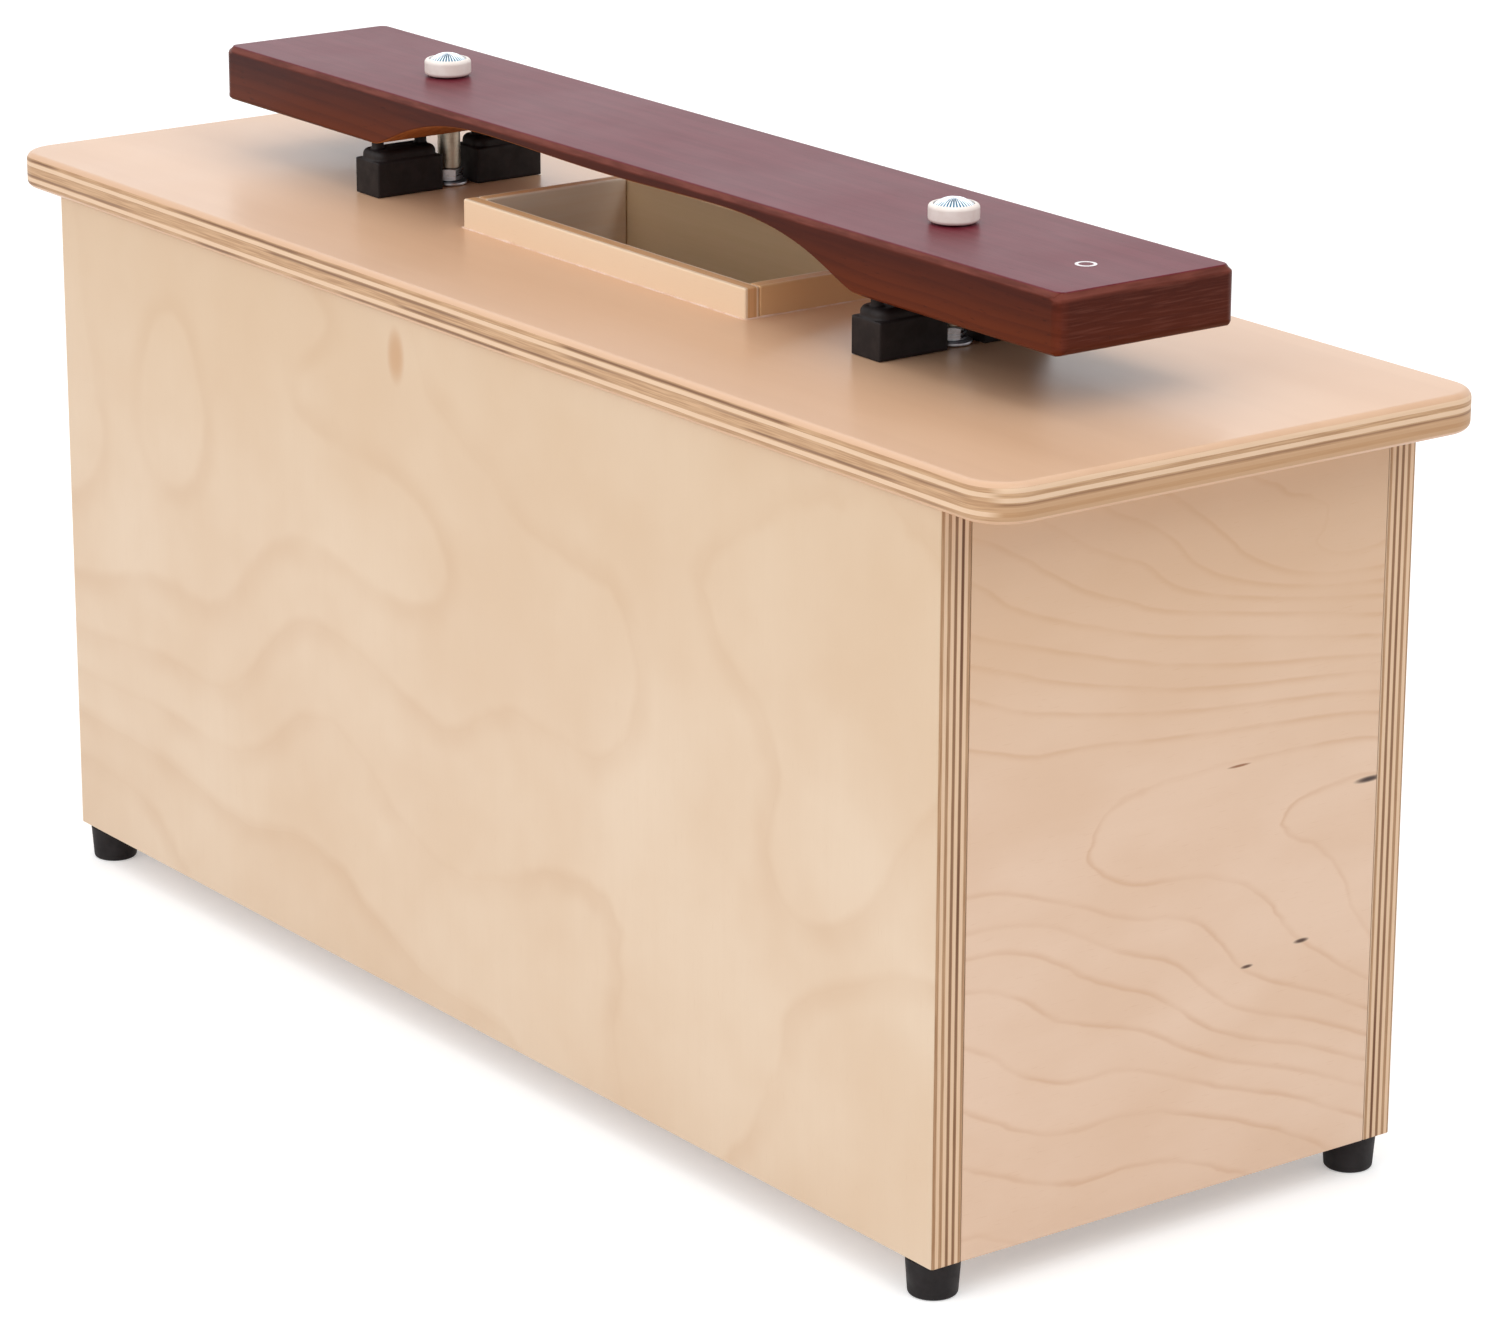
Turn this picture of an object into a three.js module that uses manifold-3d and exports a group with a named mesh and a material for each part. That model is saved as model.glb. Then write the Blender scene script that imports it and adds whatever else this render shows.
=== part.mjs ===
import * as THREE from 'three';
import { mergeVertices } from 'three/addons/utils/BufferGeometryUtils.js';
import Module from 'manifold-3d';

// A bass resonator bar: one hardwood tone bar over a plywood sound box.
// Millimetres, +Z up. The origin is on the floor under the middle of the box,
// +X runs along the bar and -Y is the front.

// Sound box
const BOX_LENGTH = 549;
const BOX_WIDTH = 200;
const BOX_HEIGHT = 255.3;
const PANEL_THICKNESS = 12;
const PANEL_EDGE_RADIUS = 2;
const BOTTOM_THICKNESS = 9;
const BOTTOM_RECESS = 2;
const GLUE_LINE = 0.2;

// Top plate
const PLATE_END_OVERHANG = 29.7;
const PLATE_SIDE_OVERHANG = 3.8;
const PLATE_THICKNESS = 13.6;
const PLATE_CORNER_RADIUS = 15.3;
const PLATE_EDGE_RADIUS = 3;

// Collar round the sound opening
const COLLAR_LENGTH = 173.4;
const COLLAR_WIDTH = 75;
const COLLAR_BOARD = 6.2;
const COLLAR_RISE = 10.9;
const COLLAR_DEPTH = 60;
const COLLAR_EDGE_RADIUS = 0.8;

// Tone bar
const BAR_LENGTH = 507.5;
const BAR_WIDTH = 74.5;
const BAR_THICKNESS = 20.8;
const BAR_CHAMFER = 1.9;
const BAR_CORNER_RADIUS = 2.6;
const BAR_ABOVE_PLATE = 20.5;
const ARCH_CROWN_HEIGHT = 16.3;
const ARCH_MIDDLE_HEIGHT = 15.3;
const ARCH_RAMP = 78;
const ARCH_CROWN_PULL = 52;
const ARCH_FOOT_PULL = 14;
const ARCH_MIDDLE_PULL = 30;
const ARCH_LAND = 0.4;

// Posts
const POST_SPACING = 306;
const STUD_DIAMETER = 5;
const STUD_CHAMFER = 0.6;
const STUD_BELOW_NUT = 4;
const SLEEVE_WALL = 1.5;
const SLEEVE_BELOW_BAR_TOP = 1;
const NUT_WALL = 1.95;
const NUT_HEIGHT = 4.7;
const NUT_CHAMFER = 0.6;
const WASHER_DIAMETER = 14;
const WASHER_THICKNESS = 1.2;
const BAR_HOLE_CLEARANCE = 0.8;

// Retaining caps
const CAP_RING_HEIGHT = 6.2;
const CAP_RING_LIP = 1.7;
const CAP_RING_ROUND = 1.4;
const CAP_RECESS_DEPTH = 2;
const CAP_ABOVE_BAR = 0.5;
const DOME_DIAMETER = 13.5;
const DOME_RIM = 1.3;
const DOME_RISE = 2.6;
const DOME_FLUTES = 32;
const DOME_FLUTE_DEPTH = 0.3;
const DOME_PLAIN_RADIUS = 2.2;

// Support blocks
const BLOCK_LENGTH = 28.8;
const BLOCK_WIDTH = 15.8;
const BLOCK_BODY_HEIGHT = 13.3;
const BLOCK_EDGE_RADIUS = 0.6;
const BLOCK_CORNER_RADIUS = 1.4;
const BLOCK_TO_WASHER = 0.9;
const RIDGE_HEIGHT = 3.8;
const RIDGE_INSET = 0.8;
const RIDGE_CORNER_RADIUS = 4.5;
const RIDGE_EDGE_RADIUS = 2.2;
const PEG_DIAMETER = 4.6;
const PEG_SPACING = 19;
const PEG_ROUND = 0.9;
const BAR_REST_GAP = 0.3;

// Feet and their screws
const FOOT_HEIGHT = 13;
const FOOT_TOP_DIAMETER = 18.6;
const FOOT_BOTTOM_DIAMETER = 16.7;
const FOOT_EDGE_RADIUS = 1.2;
const FOOT_END_INSET = 10.5;
const FOOT_RECESS_DEPTH = 6;
const SCREW_DIAMETER = 3;
const SCREW_HEAD_DIAMETER = 7;
const SCREW_HEAD_HEIGHT = 2.2;
const SCREW_BITE = 20;
const SCREW_TIP = 4;
const SCREW_TO_INNER_FACE = 3;

// Clearances and counts
const FIT = 0.3;
const SEAT = 0.2;
const CUT_MARGIN = 2;
const ROUND_SIDES = 28;
const SMALL_SIDES = 18;
const ARC_STEPS = 3;
const SMALL_ARC_STEPS = 2;
const CHAMFER_STEPS = 1;
const CORNER_STEPS = 4;
const SMALL_CORNER_STEPS = 1;
const ARCH_STEPS = 14;
const MERGE_TOLERANCE = 1e-4;

// Levels above the floor
const BOX_BOTTOM = FOOT_HEIGHT + SEAT;
const PLATE_BOTTOM = BOX_BOTTOM + BOX_HEIGHT + GLUE_LINE;
const PLATE_TOP = PLATE_BOTTOM + PLATE_THICKNESS;
const BAR_BOTTOM = PLATE_TOP + BAR_ABOVE_PLATE;
const BAR_TOP = BAR_BOTTOM + BAR_THICKNESS;

// Sizes that follow from the ones above
const STUD_RADIUS = STUD_DIAMETER / 2;
const STUD_HOLE_RADIUS = STUD_RADIUS + FIT;
const SLEEVE_RADIUS = STUD_HOLE_RADIUS + SLEEVE_WALL;
const BAR_HOLE_RADIUS = SLEEVE_RADIUS + BAR_HOLE_CLEARANCE;
const POST_X = POST_SPACING / 2;
const ARCH_FOOT = POST_X - PEG_DIAMETER / 2 - ARCH_LAND;
const ARCH_CROWN = ARCH_FOOT - ARCH_RAMP;
const CAP_RECESS_RADIUS = DOME_DIAMETER / 2 + FIT;
const CAP_RING_RADIUS = CAP_RECESS_RADIUS + CAP_RING_LIP;
const BLOCK_Y = WASHER_DIAMETER / 2 + BLOCK_TO_WASHER + BLOCK_LENGTH / 2;
const FOOT_X = BOX_LENGTH / 2 - FOOT_END_INSET;
const FOOT_Y = BOX_WIDTH / 2 - PANEL_THICKNESS + SCREW_TO_INNER_FACE;
const SCREW_RADIUS = SCREW_DIAMETER / 2;
const PILOT_RADIUS = SCREW_RADIUS + FIT;

const wasm = await Module();
wasm.setup();

const birch = new THREE.MeshStandardMaterial({ color: 0xe6cbae, roughness: 0.5, metalness: 0 });
const rosewood = new THREE.MeshStandardMaterial({ color: 0x6e3a30, roughness: 0.4, metalness: 0 });
const rubber = new THREE.MeshStandardMaterial({ color: 0x242022, roughness: 0.75, metalness: 0 });
const zinc = new THREE.MeshStandardMaterial({ color: 0xb4b6bb, roughness: 0.35, metalness: 1 });
const sleeveMetal = new THREE.MeshStandardMaterial({ color: 0x8d8880, roughness: 0.4, metalness: 1 });
const whitePlastic = new THREE.MeshStandardMaterial({ color: 0xe4dad2, roughness: 0.55, metalness: 0 });
const chrome = new THREE.MeshStandardMaterial({ color: 0xd6dde2, roughness: 0.15, metalness: 1 });

// Turns a closed geometry into a solid for joining and cutting.
function solidOf(geometry) {
  const bare = geometry.clone();
  bare.deleteAttribute('normal');
  bare.deleteAttribute('uv');
  const merged = mergeVertices(bare, MERGE_TOLERANCE);
  const corners = merged.index.array;
  const triVerts = [];
  for (let i = 0; i < corners.length; i += 3) {
    const [a, b, c] = corners.slice(i, i + 3);
    if (a !== b && b !== c && c !== a) {
      triVerts.push(a, b, c);
    }
  }
  return new wasm.Manifold(new wasm.Mesh({
    numProp: 3,
    vertProperties: new Float32Array(merged.attributes.position.array),
    triVerts: new Uint32Array(triVerts),
  }));
}

function geometryOf(solid) {
  const { vertProperties, triVerts } = solid.getMesh();
  const geometry = new THREE.BufferGeometry();
  geometry.setAttribute('position', new THREE.BufferAttribute(new Float32Array(vertProperties), 3));
  geometry.setIndex(new THREE.BufferAttribute(new Uint32Array(triVerts), 1));
  geometry.computeVertexNormals();
  return geometry;
}

function cut(base, ...tools) {
  return tools.reduce((solid, tool) => solid.subtract(solidOf(tool)), solidOf(base));
}

function join(base, ...additions) {
  return additions.reduce((solid, addition) => solid.add(solidOf(addition)), solidOf(base));
}

function pieceOf(name, solid, material, x = 0, y = 0, z = 0) {
  const mesh = new THREE.Mesh(geometryOf(solid), material);
  mesh.name = name;
  mesh.position.set(x, y, z);
  return mesh;
}

// A block centred in plan that stands on its own base.
function block(length, width, height) {
  return new THREE.BoxGeometry(length, width, height).translate(0, 0, height / 2);
}

// A round bar that stands on its own base.
function rod(radius, height, sides = ROUND_SIDES) {
  return new THREE.CylinderGeometry(radius, radius, height, sides)
    .rotateX(Math.PI / 2)
    .translate(0, 0, height / 2);
}

// A round bar that cuts right through a board of the given thickness.
function throughHole(radius, thickness, x, sides = SMALL_SIDES) {
  return rod(radius, thickness + 2 * CUT_MARGIN, sides).translate(x, 0, -CUT_MARGIN);
}

// Revolves a profile of radius and height about +Z.
function revolved(profile, sides = ROUND_SIDES) {
  const points = profile.map(([radius, height]) => new THREE.Vector2(radius, height));
  return new THREE.LatheGeometry(points, sides).rotateX(Math.PI / 2);
}

function ring(inner, outer, height) {
  return revolved([[inner, 0], [outer, 0], [outer, height], [inner, height], [inner, 0]]);
}

// Points of a round stretch of a profile, from one angle to another.
function roundPoints(centreRadius, centreHeight, round, from, to, steps = ARC_STEPS) {
  return Array.from({ length: steps + 1 }, (_, i) => {
    const angle = from + ((to - from) * i) / steps;
    return [centreRadius + round * Math.cos(angle), centreHeight + round * Math.sin(angle)];
  });
}

function roundedRectangle(width, height, radius) {
  const x = width / 2 - radius;
  const y = height / 2 - radius;
  const shape = new THREE.Shape();
  shape.absarc(x, y, radius, 0, Math.PI / 2);
  shape.absarc(-x, y, radius, Math.PI / 2, Math.PI);
  shape.absarc(-x, -y, radius, Math.PI, 1.5 * Math.PI);
  shape.absarc(x, -y, radius, 1.5 * Math.PI, 2 * Math.PI);
  shape.closePath();
  return shape;
}

// Extrudes an outline upwards and rounds the edges of both faces.
function roundedSlab(outline, thickness, edgeRadius, cornerSteps = CORNER_STEPS, edgeSteps = ARC_STEPS) {
  return new THREE.ExtrudeGeometry(outline, {
    depth: thickness - 2 * edgeRadius,
    bevelThickness: edgeRadius,
    bevelSize: edgeRadius,
    bevelOffset: -edgeRadius,
    bevelSegments: edgeSteps,
    curveSegments: cornerSteps,
  }).translate(0, 0, edgeRadius);
}

function plainSlab(outline, thickness, steps = ARC_STEPS) {
  return new THREE.ExtrudeGeometry(outline, { depth: thickness, bevelEnabled: false, curveSegments: steps });
}

// Front and back panels run the full length; their outer vertical edges are eased.
function longPanel() {
  const half = BOX_LENGTH / 2;
  const round = PANEL_EDGE_RADIUS;
  const outline = new THREE.Shape();
  outline.moveTo(half, PANEL_THICKNESS);
  outline.lineTo(-half, PANEL_THICKNESS);
  outline.absarc(-half + round, round, round, Math.PI, 1.5 * Math.PI);
  outline.absarc(half - round, round, round, 1.5 * Math.PI, 2 * Math.PI);
  outline.closePath();
  const pilotY = PANEL_THICKNESS - SCREW_TO_INNER_FACE;
  const pilotHeight = CUT_MARGIN + SCREW_BITE + FIT;
  const pilots = [-FOOT_X, FOOT_X].map(
    (x) => rod(PILOT_RADIUS, pilotHeight, SMALL_SIDES).translate(x, pilotY, -CUT_MARGIN),
  );
  return cut(plainSlab(outline, BOX_HEIGHT), ...pilots);
}

function addSoundBox(model) {
  const innerWidth = BOX_WIDTH - 2 * (PANEL_THICKNESS + GLUE_LINE);
  const innerLength = BOX_LENGTH - 2 * (PANEL_THICKNESS + GLUE_LINE);
  const endX = (BOX_LENGTH - PANEL_THICKNESS) / 2;
  const endPanel = solidOf(block(PANEL_THICKNESS, innerWidth, BOX_HEIGHT));
  const bottom = solidOf(block(innerLength, innerWidth, BOTTOM_THICKNESS));
  const backPanel = pieceOf('back_panel', longPanel(), birch, 0, BOX_WIDTH / 2, BOX_BOTTOM);
  backPanel.rotation.z = Math.PI;
  model.add(backPanel);
  model.add(pieceOf('front_panel', longPanel(), birch, 0, -BOX_WIDTH / 2, BOX_BOTTOM));
  model.add(pieceOf('left_end_panel', endPanel, birch, -endX, 0, BOX_BOTTOM));
  model.add(pieceOf('right_end_panel', endPanel, birch, endX, 0, BOX_BOTTOM));
  model.add(pieceOf('bottom_panel', bottom, birch, 0, 0, BOX_BOTTOM + BOTTOM_RECESS));
}

function addTopPlate(model) {
  const length = BOX_LENGTH + 2 * PLATE_END_OVERHANG;
  const width = BOX_WIDTH + 2 * PLATE_SIDE_OVERHANG;
  const outline = roundedRectangle(length, width, PLATE_CORNER_RADIUS);
  const openingLength = COLLAR_LENGTH + 2 * GLUE_LINE;
  const openingWidth = COLLAR_WIDTH + 2 * GLUE_LINE;
  const plate = cut(
    roundedSlab(outline, PLATE_THICKNESS, PLATE_EDGE_RADIUS),
    block(openingLength, openingWidth, PLATE_THICKNESS + 2 * CUT_MARGIN).translate(0, 0, -CUT_MARGIN),
    throughHole(STUD_HOLE_RADIUS, PLATE_THICKNESS, -POST_X),
    throughHole(STUD_HOLE_RADIUS, PLATE_THICKNESS, POST_X),
  );
  model.add(pieceOf('top_plate', plate, birch, 0, 0, PLATE_BOTTOM));
}

// A collar board along X, with its two upper edges eased.
function collarBoard(length) {
  const half = COLLAR_BOARD / 2;
  const height = COLLAR_RISE + COLLAR_DEPTH;
  const round = COLLAR_EDGE_RADIUS;
  const outline = new THREE.Shape();
  outline.moveTo(-half, 0);
  outline.lineTo(half, 0);
  outline.absarc(half - round, height - round, round, 0, Math.PI / 2);
  outline.absarc(-half + round, height - round, round, Math.PI / 2, Math.PI);
  outline.closePath();
  const board = plainSlab(outline, length).translate(0, 0, -length / 2);
  return solidOf(board.rotateX(Math.PI / 2).rotateZ(Math.PI / 2));
}

function addCollar(model) {
  const z = PLATE_TOP - COLLAR_DEPTH;
  const longY = (COLLAR_WIDTH - COLLAR_BOARD) / 2;
  const shortX = (COLLAR_LENGTH - COLLAR_BOARD) / 2;
  const longBoard = collarBoard(COLLAR_LENGTH);
  const shortBoard = collarBoard(COLLAR_WIDTH - 2 * (COLLAR_BOARD + GLUE_LINE));
  model.add(pieceOf('collar_front', longBoard, birch, 0, -longY, z));
  model.add(pieceOf('collar_back', longBoard, birch, 0, longY, z));
  for (const [side, x] of [['left', -shortX], ['right', shortX]]) {
    const board = pieceOf(`collar_${side}`, shortBoard, birch, x, 0, z);
    board.rotation.z = Math.PI / 2;
    model.add(board);
  }
}

// The space under the bar: a ramp up from each foot, a crown, and a slightly lower middle.
function archSpace() {
  const outline = new THREE.Shape();
  outline.moveTo(-ARCH_FOOT, 0);
  outline.bezierCurveTo(
    -ARCH_FOOT + ARCH_FOOT_PULL, 0,
    -ARCH_CROWN - ARCH_CROWN_PULL, ARCH_CROWN_HEIGHT,
    -ARCH_CROWN, ARCH_CROWN_HEIGHT,
  );
  outline.bezierCurveTo(
    -ARCH_CROWN + ARCH_MIDDLE_PULL, ARCH_CROWN_HEIGHT,
    -ARCH_MIDDLE_PULL, ARCH_MIDDLE_HEIGHT,
    0, ARCH_MIDDLE_HEIGHT,
  );
  outline.bezierCurveTo(
    ARCH_MIDDLE_PULL, ARCH_MIDDLE_HEIGHT,
    ARCH_CROWN - ARCH_MIDDLE_PULL, ARCH_CROWN_HEIGHT,
    ARCH_CROWN, ARCH_CROWN_HEIGHT,
  );
  outline.bezierCurveTo(
    ARCH_CROWN + ARCH_CROWN_PULL, ARCH_CROWN_HEIGHT,
    ARCH_FOOT - ARCH_FOOT_PULL, 0,
    ARCH_FOOT, 0,
  );
  outline.lineTo(ARCH_FOOT, -CUT_MARGIN);
  outline.lineTo(-ARCH_FOOT, -CUT_MARGIN);
  outline.closePath();
  const width = BAR_WIDTH + 2 * CUT_MARGIN;
  return plainSlab(outline, width, ARCH_STEPS).translate(0, 0, -width / 2).rotateX(Math.PI / 2);
}

function addToneBar(model) {
  const outline = roundedRectangle(BAR_LENGTH, BAR_THICKNESS, BAR_CORNER_RADIUS);
  const blank = roundedSlab(outline, BAR_WIDTH, BAR_CHAMFER, CORNER_STEPS, CHAMFER_STEPS)
    .translate(0, 0, -BAR_WIDTH / 2)
    .rotateX(Math.PI / 2)
    .translate(0, 0, BAR_THICKNESS / 2);
  const bar = cut(
    blank,
    archSpace(),
    throughHole(BAR_HOLE_RADIUS, BAR_THICKNESS, -POST_X, ROUND_SIDES),
    throughHole(BAR_HOLE_RADIUS, BAR_THICKNESS, POST_X, ROUND_SIDES),
  );
  model.add(pieceOf('tone_bar', bar, rosewood, 0, 0, BAR_BOTTOM));
}

// A hexagon nut with its corners chamfered above and below.
function hexagonNut() {
  const flatRadius = STUD_RADIUS + NUT_WALL;
  const cornerRadius = flatRadius / Math.cos(Math.PI / 6);
  const hexagon = solidOf(rod(cornerRadius, NUT_HEIGHT, 6));
  const barrel = solidOf(revolved([
    [0, 0],
    [flatRadius, 0],
    [cornerRadius, NUT_CHAMFER],
    [cornerRadius, NUT_HEIGHT - NUT_CHAMFER],
    [flatRadius, NUT_HEIGHT],
    [0, NUT_HEIGHT],
  ]));
  return hexagon.intersect(barrel).subtract(solidOf(throughHole(STUD_HOLE_RADIUS, NUT_HEIGHT, 0)));
}

function studOf(length) {
  return solidOf(revolved([
    [0, 0],
    [STUD_RADIUS - STUD_CHAMFER, 0],
    [STUD_RADIUS, STUD_CHAMFER],
    [STUD_RADIUS, length - STUD_CHAMFER],
    [STUD_RADIUS - STUD_CHAMFER, length],
    [0, length],
  ], SMALL_SIDES));
}

// A stud clamped through the plate by a nut and washer on each side, inside a sleeve that guides the bar.
function addPost(model, side, x) {
  const washer = solidOf(ring(STUD_HOLE_RADIUS, WASHER_DIAMETER / 2, WASHER_THICKNESS));
  const nut = hexagonNut();
  const upperWasherZ = PLATE_TOP + SEAT;
  const upperNutZ = upperWasherZ + WASHER_THICKNESS + SEAT;
  const sleeveZ = upperNutZ + NUT_HEIGHT + SEAT;
  const lowerWasherZ = PLATE_BOTTOM - SEAT - WASHER_THICKNESS;
  const lowerNutZ = lowerWasherZ - SEAT - NUT_HEIGHT;
  const studZ = lowerNutZ - STUD_BELOW_NUT;
  const studTop = BAR_TOP + CAP_ABOVE_BAR + CAP_RING_HEIGHT - CAP_RECESS_DEPTH;
  const sleeveTop = BAR_TOP - SLEEVE_BELOW_BAR_TOP;
  const sleeve = solidOf(ring(STUD_HOLE_RADIUS, SLEEVE_RADIUS, sleeveTop - sleeveZ));
  const post = new THREE.Group();
  post.position.x = x;
  post.add(pieceOf(`${side}_stud`, studOf(studTop - studZ), zinc, 0, 0, studZ));
  post.add(pieceOf(`${side}_lower_nut`, nut, zinc, 0, 0, lowerNutZ));
  post.add(pieceOf(`${side}_lower_washer`, washer, zinc, 0, 0, lowerWasherZ));
  post.add(pieceOf(`${side}_upper_washer`, washer, zinc, 0, 0, upperWasherZ));
  post.add(pieceOf(`${side}_upper_nut`, nut, zinc, 0, 0, upperNutZ));
  post.add(pieceOf(`${side}_sleeve`, sleeve, sleeveMetal, 0, 0, sleeveZ));
  model.add(post);
}

function capRing() {
  const round = CAP_RING_ROUND;
  const edge = CAP_RING_RADIUS - round;
  const floor = CAP_RING_HEIGHT - CAP_RECESS_DEPTH;
  return solidOf(revolved([
    [STUD_HOLE_RADIUS, 0],
    ...roundPoints(edge, round, round, -Math.PI / 2, 0),
    ...roundPoints(edge, CAP_RING_HEIGHT - round, round, 0, Math.PI / 2),
    [CAP_RECESS_RADIUS, CAP_RING_HEIGHT],
    [CAP_RECESS_RADIUS, floor],
    [STUD_HOLE_RADIUS, floor],
    [STUD_HOLE_RADIUS, 0],
  ]));
}

// A shallow dome whose slope is folded into flutes outside a plain middle.
function capDome() {
  const radius = DOME_DIAMETER / 2;
  const sphere = (radius * radius + DOME_RISE * DOME_RISE) / (2 * DOME_RISE);
  const centre = DOME_RIM + DOME_RISE - sphere;
  const rimAngle = Math.asin(radius / sphere);
  const slope = roundPoints(0, centre, sphere, Math.PI / 2 - rimAngle, Math.PI / 2).slice(0, -1);
  const geometry = revolved([[0, 0], [radius, 0], ...slope, [0, DOME_RIM + DOME_RISE]], 2 * DOME_FLUTES);
  const position = geometry.attributes.position;
  const point = new THREE.Vector3();
  for (let i = 0; i < position.count; i += 1) {
    point.fromBufferAttribute(position, i);
    const fade = THREE.MathUtils.smoothstep(Math.hypot(point.x, point.y), 0, DOME_PLAIN_RADIUS);
    const valley = (1 - Math.cos(DOME_FLUTES * Math.atan2(point.y, point.x))) / 2;
    if (point.z > DOME_RIM / 2) {
      position.setZ(i, point.z - DOME_FLUTE_DEPTH * fade * valley);
    }
  }
  return solidOf(geometry);
}

function addCap(model, side, x) {
  const ringZ = BAR_TOP + CAP_ABOVE_BAR;
  const domeZ = ringZ + CAP_RING_HEIGHT - CAP_RECESS_DEPTH + SEAT;
  model.add(pieceOf(`${side}_cap_ring`, capRing(), whitePlastic, x, 0, ringZ));
  model.add(pieceOf(`${side}_cap_dome`, capDome(), chrome, x, 0, domeZ));
}

// A rubber block: a square body, a low ridge with rounded edges, and two pegs that carry the bar.
function supportBlock() {
  const outline = roundedRectangle(BLOCK_WIDTH, BLOCK_LENGTH, BLOCK_CORNER_RADIUS);
  const steps = SMALL_ARC_STEPS;
  const body = roundedSlab(outline, BLOCK_BODY_HEIGHT, BLOCK_EDGE_RADIUS, SMALL_CORNER_STEPS, steps);
  const ridgeOutline = roundedRectangle(
    BLOCK_WIDTH - 2 * RIDGE_INSET,
    BLOCK_LENGTH - 2 * RIDGE_INSET,
    RIDGE_CORNER_RADIUS,
  );
  const ridge = roundedSlab(ridgeOutline, RIDGE_EDGE_RADIUS + RIDGE_HEIGHT, RIDGE_EDGE_RADIUS)
    .translate(0, 0, BLOCK_BODY_HEIGHT - RIDGE_EDGE_RADIUS);
  const pegHeight = BAR_ABOVE_PLATE - BAR_REST_GAP - SEAT - BLOCK_BODY_HEIGHT;
  const pegs = [-PEG_SPACING / 2, PEG_SPACING / 2].map((y) => revolved([
    [0, 0],
    [PEG_DIAMETER / 2, 0],
    ...roundPoints(PEG_DIAMETER / 2 - PEG_ROUND, pegHeight - PEG_ROUND, PEG_ROUND, 0, Math.PI / 2, steps),
    [0, pegHeight],
  ], SMALL_SIDES).translate(0, y, BLOCK_BODY_HEIGHT));
  return join(body, ridge, ...pegs);
}

function addBlocks(model, side, x) {
  const supports = supportBlock();
  model.add(pieceOf(`${side}_front_block`, supports, rubber, x, -BLOCK_Y, PLATE_TOP + SEAT));
  model.add(pieceOf(`${side}_back_block`, supports, rubber, x, BLOCK_Y, PLATE_TOP + SEAT));
}

// A tapered foot with a recess below for the head of its screw.
function taperedFoot() {
  const recess = SCREW_HEAD_DIAMETER / 2 + FIT;
  const round = FOOT_EDGE_RADIUS;
  return solidOf(revolved([
    [recess, 0],
    ...roundPoints(FOOT_BOTTOM_DIAMETER / 2 - round, round, round, -Math.PI / 2, 0, SMALL_ARC_STEPS),
    [FOOT_TOP_DIAMETER / 2, FOOT_HEIGHT],
    [PILOT_RADIUS, FOOT_HEIGHT],
    [PILOT_RADIUS, FOOT_RECESS_DEPTH],
    [recess, FOOT_RECESS_DEPTH],
    [recess, 0],
  ]));
}

function footScrew() {
  const head = SCREW_HEAD_DIAMETER / 2;
  const tip = SCREW_HEAD_HEIGHT + SEAT + FOOT_HEIGHT - FOOT_RECESS_DEPTH + SEAT + SCREW_BITE;
  return solidOf(revolved([
    [0, 0],
    [head, 0],
    [head, SCREW_HEAD_HEIGHT],
    [SCREW_RADIUS, SCREW_HEAD_HEIGHT],
    [SCREW_RADIUS, tip - SCREW_TIP],
    [0, tip],
  ], SMALL_SIDES));
}

function addFeet(model) {
  const foot = taperedFoot();
  const screw = footScrew();
  const screwZ = FOOT_RECESS_DEPTH - SEAT - SCREW_HEAD_HEIGHT;
  for (const [end, x] of [['left', -FOOT_X], ['right', FOOT_X]]) {
    for (const [face, y] of [['front', -FOOT_Y], ['back', FOOT_Y]]) {
      model.add(pieceOf(`${end}_${face}_foot`, foot, rubber, x, y, 0));
      model.add(pieceOf(`${end}_${face}_foot_screw`, screw, zinc, x, y, screwZ));
    }
  }
}

const resonatorBar = new THREE.Group();
addSoundBox(resonatorBar);
addTopPlate(resonatorBar);
addCollar(resonatorBar);
addToneBar(resonatorBar);
addFeet(resonatorBar);
for (const [side, x] of [['left', -POST_X], ['right', POST_X]]) {
  addPost(resonatorBar, side, x);
  addBlocks(resonatorBar, side, x);
  addCap(resonatorBar, side, x);
}

export default resonatorBar;
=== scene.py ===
"""A bass resonator bar: one hardwood tone bar above a birch plywood sound box.

Metres, +Z up. The bar runs along X and the front panel faces -Y.
"""

import math

import bmesh
import bpy
from mathutils import Matrix, Vector


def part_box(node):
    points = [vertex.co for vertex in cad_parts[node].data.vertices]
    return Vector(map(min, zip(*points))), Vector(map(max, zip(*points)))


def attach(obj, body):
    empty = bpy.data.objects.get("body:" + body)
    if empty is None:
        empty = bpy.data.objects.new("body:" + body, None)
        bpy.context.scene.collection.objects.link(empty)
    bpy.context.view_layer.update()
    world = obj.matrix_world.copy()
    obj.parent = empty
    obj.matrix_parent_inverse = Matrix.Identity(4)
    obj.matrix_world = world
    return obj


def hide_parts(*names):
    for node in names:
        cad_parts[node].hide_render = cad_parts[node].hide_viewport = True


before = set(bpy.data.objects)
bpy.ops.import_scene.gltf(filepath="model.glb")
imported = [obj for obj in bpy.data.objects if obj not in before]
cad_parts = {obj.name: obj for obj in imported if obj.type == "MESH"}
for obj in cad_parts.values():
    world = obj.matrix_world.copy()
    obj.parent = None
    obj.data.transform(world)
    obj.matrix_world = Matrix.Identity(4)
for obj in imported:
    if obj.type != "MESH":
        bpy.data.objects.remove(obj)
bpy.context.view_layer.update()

MM = 0.001
NEAR = 1e-6
SIDES = ("left", "right")
FACES = ("front", "back")


# ---- Node graphs ----

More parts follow.
